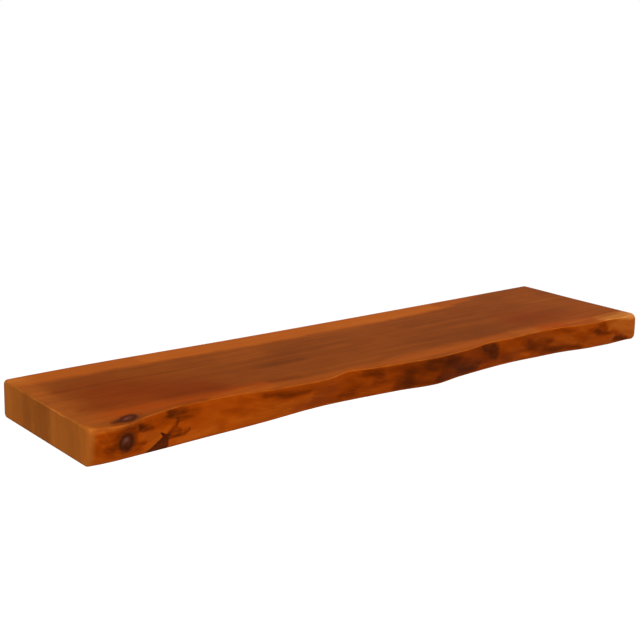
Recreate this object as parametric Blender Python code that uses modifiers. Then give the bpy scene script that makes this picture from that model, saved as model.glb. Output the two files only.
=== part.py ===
"""Floating wall shelf: a live edge board pushed onto two concealed rod supports.

Metres, +Z up. The origin is the centre of the board's back face, on the wall plane y = 0.
The board runs along X and its live edge faces -Y. The plugs and screws reach into the wall, at +Y.
"""

import bisect
import math

import bmesh
import bpy

# Board
LENGTH = 0.800
DEPTH = 0.188
THICKNESS = 0.038
STATION_STEP = 0.0125

# Rounding of the board's edges
FRONT_ARRIS = 0.0050
LEAST_ARRIS = 0.0010
BACK_ARRIS = 0.0020
LEFT_END_ROUND = 0.0040
RIGHT_END_ROUND = 0.0075
FRONT_BELLY = 0.0015

# The live edge: share of the length from the left end, and set back from the widest point
TOP_EDGE = (
    (0.000, 0.0210), (0.018, 0.0170), (0.044, 0.0125), (0.068, 0.0188),
    (0.128, 0.0276), (0.165, 0.0268), (0.214, 0.0246), (0.245, 0.0188),
    (0.300, 0.0150), (0.340, 0.0135), (0.386, 0.0220), (0.405, 0.0180),
    (0.460, 0.0120), (0.528, 0.0062), (0.600, 0.0085), (0.645, 0.0142),
    (0.700, 0.0132), (0.780, 0.0138), (0.835, 0.0085), (0.872, 0.0035),
    (0.915, 0.0025), (0.955, 0.0000), (1.000, 0.0025),
)
BOTTOM_EDGE = (
    (0.000, 0.0255), (0.035, 0.0230), (0.150, 0.0258), (0.245, 0.0282),
    (0.335, 0.0325), (0.390, 0.0317), (0.480, 0.0250), (0.548, 0.0172),
    (0.600, 0.0225), (0.690, 0.0263), (0.745, 0.0256), (0.835, 0.0205),
    (0.885, 0.0140), (0.950, 0.0095), (1.000, 0.0030),
)

# Clearances: seat between pieces that touch or screw together, and slip round a plate in its pocket
SEAT_GAP = 0.0003
POCKET_SLIP = 0.0006

# Wood left in front of a rod's bore at the live edge's lowest point, and round a plate's pocket
FRONT_COVER = 0.0205
PLATE_COVER = 0.0044

# Supports, one at each end of the board
END_TO_SUPPORT = 0.150
PLATE_THICKNESS = 0.004
PLATE_EDGE = 0.0005
SCREW_SPACING = 0.050
SCREW_TO_PLATE_END = 0.011
ROD_RADIUS = 0.006
ROD_CHAMFER = 0.0012
ROD_RELIEF_WIDTH = 0.0020
ROD_RELIEF_DEPTH = 0.0008
THREAD_PAST_NUT = 0.0049
BORE_END_ROOM = 0.005

# Lock nut and washer, which clamp the rod's thread in the plate
WASHER_LIP = 0.006
WASHER_THICKNESS = 0.0025
NUT_WALL = 0.003
NUT_THICKNESS = 0.006
NUT_CHAMFER = 0.0010
COUNTERBORE_ROOM = 0.0010

# Countersunk wall screws and their plugs
SCREW_HEAD_RADIUS = 0.0048
SCREW_RADIUS = 0.0025
SCREW_POINT = 0.006
SCREW_PAST_PLUG = 0.0062
SCREW_HEAD_DROP = 0.0002
DRIVE_WIDTH = 0.0011
DRIVE_SPAN = 0.0050
DRIVE_DEPTH = 0.0018
PLUG_LENGTH = 0.040
PLUG_COLLAR = 0.012
PLUG_WALL = 0.0008
PLUG_RIB_PITCH = 0.005
PLUG_RIB_DEPTH = 0.0006
PLUG_SLOT_WIDTH = 0.0010

# Locking screw under each rod, in a threaded insert
LOCK_FROM_WALL = 0.060
LOCK_RADIUS = 0.003
LOCK_CHAMFER = 0.0006
LOCK_SINK = 0.0007
SOCKET_ACROSS_FLATS = 0.003
SOCKET_DEPTH = 0.0035
INSERT_WALL = 0.0015
INSERT_SINK = 0.0003
INSERT_COVER = 0.0034

# Fineness of round shapes, and how far a cutter runs past the face that it opens
SIDES_LARGE = 32
SIDES_SMALL = 24
SIDES_PLUG = 16
ARRIS_STEPS = 4
BACK_STEPS = 2
BELLY_STEPS = 4
PLATE_ARC_STEPS = 14
OVERRUN = 0.002

# Angles, in degrees: faces that meet more sharply show an edge, or take the plate's bevel
SMOOTH_UP_TO = 35
BEVEL_FROM = 60

# Sizes that follow from those above
DEEPEST_SET_BACK = max(back for _, back in TOP_EDGE + BOTTOM_EDGE)
ROD_REACH = DEPTH - DEEPEST_SET_BACK - FRONT_COVER - BORE_END_ROOM
PLATE_HEIGHT = THICKNESS - 2 * (PLATE_COVER + POCKET_SLIP)
PLATE_WIDTH = SCREW_SPACING + 2 * SCREW_TO_PLATE_END
THREAD_BORE = ROD_RADIUS + SEAT_GAP
WASHER_RADIUS = ROD_RADIUS + WASHER_LIP
WASHER_FOOT = PLATE_THICKNESS + SEAT_GAP
NUT_ACROSS_FLATS = 2 * (ROD_RADIUS + NUT_WALL)
NUT_CORNER = NUT_ACROSS_FLATS / math.sqrt(3)
NUT_FOOT = WASHER_FOOT + WASHER_THICKNESS + SEAT_GAP
NUT_TOP = NUT_FOOT + NUT_THICKNESS
THREAD_TOP = NUT_TOP + THREAD_PAST_NUT
SCREW_TOP = PLATE_THICKNESS - SCREW_HEAD_DROP
PLUG_BORE = SCREW_RADIUS + SEAT_GAP
PLUG_RADIUS = PLUG_BORE + PLUG_WALL + PLUG_RIB_DEPTH
INSERT_BORE = LOCK_RADIUS + SEAT_GAP
INSERT_RADIUS = INSERT_BORE + INSERT_WALL
UNDER_BORE = THICKNESS / 2 - THREAD_BORE
INSERT_TOP = UNDER_BORE - INSERT_COVER

FACE_OUT = (math.pi / 2, 0, 0)


def clear_scene():
    for obj in list(bpy.data.objects):
        bpy.data.objects.remove(obj, do_unlink=True)


def new_collection(name):
    collection = bpy.data.collections.new(name)
    bpy.context.scene.collection.children.link(collection)
    return collection


def material(name, colour, roughness, metallic=0.0):
    made = bpy.data.materials.new(name)
    made.use_nodes = True
    shader = made.node_tree.nodes["Principled BSDF"]
    shader.inputs["Base Color"].default_value = (*colour, 1.0)
    shader.inputs["Roughness"].default_value = roughness
    shader.inputs["Metallic"].default_value = metallic
    return made


def place(name, mesh, collection, finish=None, parent=None, location=(0, 0, 0)):
    """An object for the mesh in its parent's frame. One without a finish is a cutter."""
    obj = bpy.data.objects.new(name, mesh)
    obj.location = location
    obj.parent = parent
    collection.objects.link(obj)
    if finish:
        mesh.materials.clear()
        mesh.materials.append(finish)
    else:
        obj.hide_render = True
        obj.display_type = "WIRE"
    return obj


def mesh_from(bm, name):
    mesh = bpy.data.meshes.new(name)
    bm.to_mesh(mesh)
    bm.free()
    return mesh


def smooth_rounds(obj):
    obj.data.shade_smooth()
    obj.data.set_sharp_from_angle(angle=math.radians(SMOOTH_UP_TO))


def turn(name, profile, sides, collection, closed=False, **placing):
    """A piece that a Screw modifier turns round Z from points (radius, height)."""
    bm = bmesh.new()
    points = [bm.verts.new((radius, 0, height)) for radius, height in profile]
    for here, after in zip(points, points[1:]):
        bm.edges.new((here, after))
    if closed:
        bm.edges.new((points[-1], points[0]))
    obj = place(name, mesh_from(bm, name), collection, **placing)
    screw = obj.modifiers.new("Turn", "SCREW")
    screw.steps = screw.render_steps = sides
    screw.merge_threshold = 1e-5
    screw.use_merge_vertices = True
    screw.use_smooth_shade = True
    return obj


def sleeve_profile(inner, outer, low, high):
    return [(inner, high), (outer, high), (outer, low), (inner, low)]


def hole_profile(radius, low, high):
    return [(0, high), (radius, high), (radius, low), (0, low)]


def stepped_profile(wide, slim, seat, end):
    """A hole that is wide from its mouth, at zero, up to the seat, and slim from there to the end."""
    return [(0, end), (slim, end), (slim, seat), (wide, seat), (wide, -OVERRUN), (0, -OVERRUN)]


def cut(obj, cutter, operation="DIFFERENCE"):
    boolean = obj.modifiers.new(cutter.name, "BOOLEAN")
    boolean.operation = operation
    boolean.object = cutter
    boolean.solver = "EXACT"


def box_mesh(name, size, centre):
    bm = bmesh.new()
    bmesh.ops.create_cube(bm, size=1.0)
    bmesh.ops.scale(bm, vec=size, verts=bm.verts)
    bmesh.ops.translate(bm, vec=centre, verts=bm.verts)
    return mesh_from(bm, name)


def hexagon_mesh(name, corner, low, high):
    """A hexagonal prism along Z, whose corners lie at this radius."""
    bm = bmesh.new()
    bmesh.ops.create_cone(
        bm, cap_ends=True, segments=6, radius1=corner, radius2=corner, depth=high - low
    )
    bmesh.ops.translate(bm, vec=(0, 0, (low + high) / 2), verts=bm.verts)
    return mesh_from(bm, name)


def obround_mesh(name, width, height, low, high):
    """A plate with round ends along X, made from a filled 2D curve."""
    radius = height / 2
    curve = bpy.data.curves.new(name, "CURVE")
    curve.dimensions = "2D"
    curve.fill_mode = "BOTH"
    curve.extrude = (high - low) / 2
    spline = curve.splines.new("POLY")
    turns = [math.pi * (step / PLATE_ARC_STEPS - 0.5) for step in range(PLATE_ARC_STEPS + 1)]
    reach = width / 2 - radius
    outline = [(reach + radius * math.cos(a), radius * math.sin(a)) for a in turns]
    outline += [(-x, -y) for x, y in outline]
    spline.points.add(len(outline) - 1)
    for point, (x, y) in zip(spline.points, outline):
        point.co = (x, y, 0, 1)
    spline.use_cyclic_u = True
    guide = bpy.data.objects.new(name, curve)
    bpy.context.scene.collection.objects.link(guide)
    graph = bpy.context.evaluated_depsgraph_get()
    filled = bpy.data.meshes.new_from_object(guide.evaluated_get(graph))
    bpy.data.objects.remove(guide, do_unlink=True)
    bm = bmesh.new()
    bm.from_mesh(filled)
    bmesh.ops.remove_doubles(bm, verts=bm.verts, dist=1e-6)
    bmesh.ops.translate(bm, vec=(0, 0, (low + high) / 2), verts=bm.verts)
    return mesh_from(bm, name)


def along(points, share):
    """A smooth curve through (share, value) points: cubic, with slopes from the neighbours."""
    shares = [p[0] for p in points]
    i = min(max(bisect.bisect_right(shares, share) - 1, 0), len(points) - 2)

    def slope(k):
        before, after = max(k - 1, 0), min(k + 1, len(points) - 1)
        rise = points[after][1] - points[before][1]
        return rise / (points[after][0] - points[before][0])

    (s0, v0), (s1, v1) = points[i], points[i + 1]
    span = s1 - s0
    t = (share - s0) / span
    return (
        v0 * (2 * t**3 - 3 * t**2 + 1)
        + v1 * (3 * t**2 - 2 * t**3)
        + span * (slope(i) * (t**3 - 2 * t**2 + t) + slope(i + 1) * (t**3 - t**2))
    )


def corner(y, z, radius, start, steps):
    """Points (y, z) of a quarter round about a centre, turning anticlockwise from start degrees."""
    turns = [math.radians(start + 90 * step / steps) for step in range(steps + 1)]
    return [(y + radius * math.cos(a), z + radius * math.sin(a)) for a in turns]


def board_section(share, inset):
    """The board's outline across X, as (y, z), pulled in by inset towards an end."""
    top, bottom = THICKNESS / 2 - inset, inset - THICKNESS / 2
    front_top = along(TOP_EDGE, share) - DEPTH + inset
    front_bottom = along(BOTTOM_EDGE, share) - DEPTH + inset
    arris = max(FRONT_ARRIS - inset / 2, LEAST_ARRIS)
    upper = corner(front_top + arris, top - arris, arris, 90, ARRIS_STEPS)
    lower = corner(front_bottom + arris, bottom + arris, arris, 180, ARRIS_STEPS)
    (y0, z0), (y1, z1) = upper[-1], lower[0]
    belly = []
    for step in range(1, BELLY_STEPS):
        t = step / BELLY_STEPS
        out = FRONT_BELLY * math.sin(math.pi * t)
        belly.append((y0 + (y1 - y0) * t - out, z0 + (z1 - z0) * t))
    back = -inset - BACK_ARRIS
    return (
        upper + belly + lower
        + corner(back, bottom + BACK_ARRIS, BACK_ARRIS, 270, BACK_STEPS)
        + corner(back, top - BACK_ARRIS, BACK_ARRIS, 0, BACK_STEPS)
    )


def board_stations():
    """(x, inset) of each section: a quarter round at each end, and even steps between."""
    turns = [math.pi / 2 * step / ARRIS_STEPS for step in range(ARRIS_STEPS + 1)]
    first = LEFT_END_ROUND - LENGTH / 2
    last = LENGTH / 2 - RIGHT_END_ROUND
    left = [(first - LEFT_END_ROUND * math.cos(a), LEFT_END_ROUND * (1 - math.sin(a))) for a in turns]
    right = [(last + RIGHT_END_ROUND * math.sin(a), RIGHT_END_ROUND * (1 - math.cos(a))) for a in turns]
    count = round((last - first) / STATION_STEP)
    middle = [(first + (last - first) * k / count, 0.0) for k in range(1, count)]
    return left + middle + right


def board_mesh():
    """The solid plank: a loft through unlike sections, closed by the two sawn ends."""
    bm = bmesh.new()
    rings = []
    for x, inset in board_stations():
        section = board_section(x / LENGTH + 0.5, inset)
        rings.append([bm.verts.new((x, y, z)) for y, z in section])
    for here, after in zip(rings, rings[1:]):
        for k in range(len(here)):
            j = (k + 1) % len(here)
            bm.faces.new((here[k], here[j], after[j], after[k]))
    bm.faces.new(reversed(rings[0]))
    bm.faces.new(rings[-1])
    bmesh.ops.recalc_face_normals(bm, faces=bm.faces)
    return mesh_from(bm, "shelf_board")


class Kit:
    """What the pieces of one support share: collections, finishes and the empty that carries them."""

    def __init__(self, parts, cutters):
        self.parts = parts
        self.cutters = cutters
        self.empty = None
        self.steel = material("galvanised_steel", (0.46, 0.47, 0.48), 0.38, 1.0)
        self.zinc = material("zinc_plate", (0.62, 0.62, 0.60), 0.28, 1.0)
        self.nylon = material("grey_nylon", (0.42, 0.43, 0.44), 0.55)
        self.brass = material("brass", (0.72, 0.50, 0.20), 0.30, 1.0)

    def stand_on(self, name, location, rotation=(0, 0, 0), parent=None):
        self.empty = bpy.data.objects.new(name, None)
        self.empty.location = location
        self.empty.rotation_euler = rotation
        self.empty.parent = parent
        self.parts.objects.link(self.empty)

    def turned(self, name, profile, sides, finish, x=0.0, closed=False):
        placing = {"finish": finish, "parent": self.empty, "location": (x, 0, 0)}
        return turn(name, profile, sides, self.parts, closed, **placing)

    def meshed(self, name, mesh, finish):
        return place(name, mesh, self.parts, finish, self.empty)

    def turned_cutter(self, name, profile, sides, x=0.0):
        return turn(name, profile, sides, self.cutters, parent=self.empty, location=(x, 0, 0))

    def meshed_cutter(self, name, mesh, x=0.0):
        return place(name, mesh, self.cutters, parent=self.empty, location=(x, 0, 0))

    def cross_cutters(self, name, span, width, depth, middle, x):
        """Two crossed slots, deep along Z about the middle height."""
        for arm, size in (("x", (span, width, depth)), ("y", (width, span, depth))):
            mesh = box_mesh(f"{name}_{arm}", size, (0, 0, middle))
            yield self.meshed_cutter(mesh.name, mesh, x)


def rod_bore(side, kit):
    """The stepped bore for the rod, wide at its mouth for the washer and the nut."""
    wide = max(WASHER_RADIUS, NUT_CORNER) + COUNTERBORE_ROOM
    profile = stepped_profile(wide, THREAD_BORE, NUT_TOP + COUNTERBORE_ROOM, ROD_REACH + BORE_END_ROOM)
    return kit.turned_cutter(f"bore_{side}", profile, SIDES_LARGE)


def plate_pocket(side, kit):
    width, height = PLATE_WIDTH + 2 * POCKET_SLIP, PLATE_HEIGHT + 2 * POCKET_SLIP
    mesh = obround_mesh(f"pocket_{side}", width, height, -OVERRUN, WASHER_FOOT)
    return kit.meshed_cutter(mesh.name, mesh)


def lock_hole(side, kit):
    """From the underside: a wide hole for the insert, then a slim one up into the rod's bore."""
    wide = INSERT_RADIUS + SEAT_GAP
    profile = stepped_profile(wide, INSERT_BORE, INSERT_TOP + SEAT_GAP, UNDER_BORE + ROD_RADIUS / 2)
    return kit.turned_cutter(f"lock_hole_{side}", profile, SIDES_SMALL)


def screw_places():
    """The two screws of a plate, named for the end of the plate that they go through."""
    return (("a", -SCREW_SPACING / 2), ("b", SCREW_SPACING / 2))


def wall_plate(side, kit):
    """Steel plate with round ends, a tapped hole for the rod and two countersunk holes."""
    name = f"wall_plate_{side}"
    plate = kit.meshed(name, obround_mesh(name, PLATE_WIDTH, PLATE_HEIGHT, 0, PLATE_THICKNESS), kit.steel)
    bevel = plate.modifiers.new("Eased edges", "BEVEL")
    bevel.width = PLATE_EDGE
    bevel.segments = 1
    bevel.limit_method = "ANGLE"
    bevel.angle_limit = math.radians(BEVEL_FROM)
    over = PLATE_THICKNESS + OVERRUN
    tapped = hole_profile(THREAD_BORE, -OVERRUN, over)
    cut(plate, kit.turned_cutter(f"rod_hole_{side}", tapped, SIDES_LARGE))
    head = SCREW_HEAD_RADIUS + SEAT_GAP
    shank = SCREW_RADIUS + SEAT_GAP
    sunk = [(0, over), (head, over), (head, SCREW_TOP), (shank, SCREW_TOP - (head - shank))]
    sunk += [(shank, -OVERRUN), (0, -OVERRUN)]
    for end, x in screw_places():
        cut(plate, kit.turned_cutter(f"screw_hole_{side}_{end}", sunk, SIDES_SMALL, x))
    smooth_rounds(plate)


def support_rod(side, kit):
    """Steel rod with a threaded foot, a relief groove after the thread and a chamfered tip."""
    eased = ROD_RADIUS - ROD_CHAMFER
    relief = ROD_RADIUS - ROD_RELIEF_DEPTH
    profile = [
        (0, ROD_REACH),
        (eased, ROD_REACH),
        (ROD_RADIUS, ROD_REACH - ROD_CHAMFER),
        (ROD_RADIUS, THREAD_TOP + ROD_RELIEF_WIDTH + ROD_RELIEF_DEPTH),
        (relief, THREAD_TOP + ROD_RELIEF_WIDTH),
        (relief, THREAD_TOP),
        (ROD_RADIUS, THREAD_TOP - ROD_RELIEF_DEPTH),
        (ROD_RADIUS, SEAT_GAP + ROD_CHAMFER),
        (eased, SEAT_GAP),
        (0, SEAT_GAP),
    ]
    kit.turned(f"support_rod_{side}", profile, SIDES_LARGE, kit.steel)


def lock_washer(side, kit):
    profile = sleeve_profile(THREAD_BORE, WASHER_RADIUS, WASHER_FOOT, WASHER_FOOT + WASHER_THICKNESS)
    kit.turned(f"washer_{side}", profile, SIDES_LARGE, kit.zinc, closed=True)


def lock_nut(side, kit):
    """Hexagonal nut with both faces chamfered at the corners, on the rod's thread."""
    name = f"lock_nut_{side}"
    nut = kit.meshed(name, hexagon_mesh(name, NUT_CORNER, NUT_FOOT, NUT_TOP), kit.zinc)
    ease, flat = NUT_CHAMFER, NUT_ACROSS_FLATS / 2
    far = 2 * NUT_CORNER - flat
    lens = [
        (0, NUT_TOP + ease / 2),
        (flat - ease, NUT_TOP + ease / 2),
        (far, NUT_TOP - ease),
        (far, NUT_FOOT + ease),
        (flat - ease, NUT_FOOT - ease / 2),
        (0, NUT_FOOT - ease / 2),
    ]
    cut(nut, kit.turned_cutter(f"nut_chamfer_{side}", lens, SIDES_LARGE), "INTERSECT")
    tapped = hole_profile(THREAD_BORE, NUT_FOOT - OVERRUN, NUT_TOP + OVERRUN)
    cut(nut, kit.turned_cutter(f"nut_hole_{side}", tapped, SIDES_LARGE))
    smooth_rounds(nut)


def wall_screw(side, end, x, kit):
    """Countersunk screw: its head lies in the plate and its shank runs through the plug."""
    tip = -PLUG_LENGTH - SCREW_PAST_PLUG
    profile = [
        (0, SCREW_TOP),
        (SCREW_HEAD_RADIUS, SCREW_TOP),
        (SCREW_RADIUS, SCREW_TOP - (SCREW_HEAD_RADIUS - SCREW_RADIUS)),
        (SCREW_RADIUS, tip + SCREW_POINT),
        (0, tip),
    ]
    screw = kit.turned(f"wall_screw_{side}_{end}", profile, SIDES_SMALL, kit.zinc, x)
    middle = SCREW_TOP + (OVERRUN - DRIVE_DEPTH) / 2
    drive = (DRIVE_SPAN, DRIVE_WIDTH, DRIVE_DEPTH + OVERRUN, middle, x)
    for slot in kit.cross_cutters(f"drive_{side}_{end}", *drive):
        cut(screw, slot)


def wall_plug(side, end, x, kit):
    """Ribbed nylon plug with a plain collar, split crosswise behind it so that the screw can spread it."""
    slim = PLUG_RADIUS - PLUG_RIB_DEPTH
    ribbed = PLUG_LENGTH - PLUG_COLLAR
    ribs = int(ribbed / PLUG_RIB_PITCH)
    profile = [(PLUG_BORE, -SEAT_GAP), (PLUG_RADIUS, -SEAT_GAP)]
    for rib in range(ribs):
        foot = ribs * PLUG_RIB_PITCH - PLUG_LENGTH - rib * PLUG_RIB_PITCH
        profile += [(PLUG_RADIUS, foot), (slim, foot - PLUG_RIB_DEPTH)]
    profile += [(slim, -PLUG_LENGTH), (PLUG_BORE, -PLUG_LENGTH)]
    plug = kit.turned(f"wall_plug_{side}_{end}", profile, SIDES_PLUG, kit.nylon, x, closed=True)
    span = 2 * (PLUG_RADIUS + OVERRUN)
    middle = (ribbed - OVERRUN) / 2 - PLUG_LENGTH
    split = (span, PLUG_SLOT_WIDTH, ribbed + OVERRUN, middle, x)
    for slot in kit.cross_cutters(f"slot_{side}_{end}", *split):
        cut(plug, slot)


def thread_insert(side, kit):
    """Brass sleeve let into the underside, which the locking screw turns in."""
    profile = sleeve_profile(INSERT_BORE, INSERT_RADIUS, INSERT_SINK, INSERT_TOP)
    kit.turned(f"thread_insert_{side}", profile, SIDES_SMALL, kit.brass, closed=True)


def locking_screw(side, kit):
    """Headless screw with a hexagon socket, whose tip bears on the rod from below."""
    eased = LOCK_RADIUS - LOCK_CHAMFER
    profile = [
        (0, UNDER_BORE),
        (eased, UNDER_BORE),
        (LOCK_RADIUS, UNDER_BORE - LOCK_CHAMFER),
        (LOCK_RADIUS, LOCK_SINK + LOCK_CHAMFER),
        (eased, LOCK_SINK),
        (0, LOCK_SINK),
    ]
    screw = kit.turned(f"locking_screw_{side}", profile, SIDES_SMALL, kit.zinc)
    wide = SOCKET_ACROSS_FLATS / math.sqrt(3)
    socket = hexagon_mesh(f"socket_{side}", wide, -OVERRUN, LOCK_SINK + SOCKET_DEPTH)
    cut(screw, kit.meshed_cutter(socket.name, socket))


def build_support(side, x, board, kit):
    """One support, its fixings in the wall, and the cuts that it needs in the board."""
    kit.stand_on(f"support_{side}", (x, 0, 0), FACE_OUT)
    cut(board, plate_pocket(side, kit))
    cut(board, rod_bore(side, kit))
    wall_plate(side, kit)
    support_rod(side, kit)
    lock_washer(side, kit)
    lock_nut(side, kit)
    for end, along_plate in screw_places():
        wall_screw(side, end, along_plate, kit)
        wall_plug(side, end, along_plate, kit)
    kit.stand_on(f"lock_{side}", (x, -LOCK_FROM_WALL, -THICKNESS / 2), parent=board)
    cut(board, lock_hole(side, kit))
    thread_insert(side, kit)
    locking_screw(side, kit)


def main():
    clear_scene()
    parts = new_collection("wall_shelf")
    cutters = new_collection("cutters")
    cutters.hide_render = True
    wood = material("oiled_live_edge_wood", (0.30, 0.10, 0.03), 0.42)
    board = place("shelf_board", board_mesh(), parts, wood)
    smooth_rounds(board)
    kit = Kit(parts, cutters)
    support_x = LENGTH / 2 - END_TO_SUPPORT
    build_support("left", -support_x, board, kit)
    build_support("right", support_x, board, kit)


main()
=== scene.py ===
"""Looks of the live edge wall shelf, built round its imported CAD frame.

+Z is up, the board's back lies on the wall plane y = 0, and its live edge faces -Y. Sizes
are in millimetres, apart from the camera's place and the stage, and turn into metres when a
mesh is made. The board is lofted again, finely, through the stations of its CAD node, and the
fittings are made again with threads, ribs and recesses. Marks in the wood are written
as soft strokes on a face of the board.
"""

import itertools
import math

import bmesh
import bpy
import numpy as np
from mathutils import Matrix, Vector


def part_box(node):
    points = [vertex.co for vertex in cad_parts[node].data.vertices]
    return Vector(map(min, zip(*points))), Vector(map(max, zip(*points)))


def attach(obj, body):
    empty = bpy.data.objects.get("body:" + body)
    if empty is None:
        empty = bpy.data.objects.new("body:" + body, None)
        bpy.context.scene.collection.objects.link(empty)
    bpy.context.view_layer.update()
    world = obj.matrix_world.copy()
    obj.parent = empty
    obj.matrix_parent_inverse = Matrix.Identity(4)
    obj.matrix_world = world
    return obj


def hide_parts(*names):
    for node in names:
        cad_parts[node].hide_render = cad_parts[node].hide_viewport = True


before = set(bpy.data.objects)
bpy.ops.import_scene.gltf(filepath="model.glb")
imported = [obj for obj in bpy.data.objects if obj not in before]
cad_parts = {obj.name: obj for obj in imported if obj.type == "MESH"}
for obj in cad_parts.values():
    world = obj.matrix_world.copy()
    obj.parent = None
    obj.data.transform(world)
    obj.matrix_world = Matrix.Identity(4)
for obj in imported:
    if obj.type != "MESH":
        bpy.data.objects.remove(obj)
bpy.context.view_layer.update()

MM = 0.001
SIDES = ("left", "right")

# Board, as in the CAD model. Its part below y = ONLY_FRONT has no hole in it, and places that
# differ by less than SAME_WITHIN count as the same
HALF_LENGTH, HALF_THICKNESS = 400.0, 19.0
FRONT_ARRIS, BACK_ARRIS, LEAST_ARRIS = 5.0, 4.0, 1.0
ONLY_FRONT, SAME_WITHIN = -150.0, 0.1

# Rounds of the board's edges at its left and at its right end
END_ROUNDS = {"top": (1.4, 10.0), "bottom": (4.0, 6.5), "front": (4.0, 6.2), "back": (6.5, 7.5)}

# Live edge as it is dressed: its upper arris along the middle and at the corners, its lower
# arris along the board and at the right corner, how far it bulges, and how far the lower edge
# stands out and up at the right end. Each change is spread between two places along x
CRISP_ARRIS, SOFT_ARRIS = 1.7, 6.2
SOFT_LEFT, SOFT_RIGHT = (-335, -380), (350, 385)
LOWER_ARRIS, LOWER_CORNER, CORNER_FADE = 3.0, 6.0, (368, 392)
FRONT_BELLY, BELLY_FADE = 1.5, (390, 360)
TIP_FORWARD, FORWARD_FADE = 2.0, (366, 394)
TIP_RISE, RISE_FADE = 2.2, (350, 392)

# Room that the CAD board's holes leave round its fittings, how far beside a plate a face may
# still belong to a hole, and how far a cutter stands out
SEAT_GAP, POCKET_SLIP = 0.3, 0.6
COUNTERBORE_ROOM, BORE_END_ROOM = 1.0, 5.0
POCKET_MARGIN = 2.0
OVERRUN = 2.0

# Fineness of the board's mesh: distances between stations, where the fine ones fade in and
# out, and numbers of steps round its ends, over its arrises and over its sides. The sawn
# faces have NEAR_FRONT_STEPS of theirs beyond the share NEAR_FRONT of their width
FINE_STEP, COARSE_STEP = 0.8, 2.4
FINE_FADES = (-406.0, -396.0), (-268.0, -288.0)
END_STEPS, ARRIS_STEPS, FRONT_STEPS = 10, 6, 38
FACE_STEPS, NEAR_FRONT, NEAR_FRONT_STEPS = 48, 0.80, 20

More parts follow.
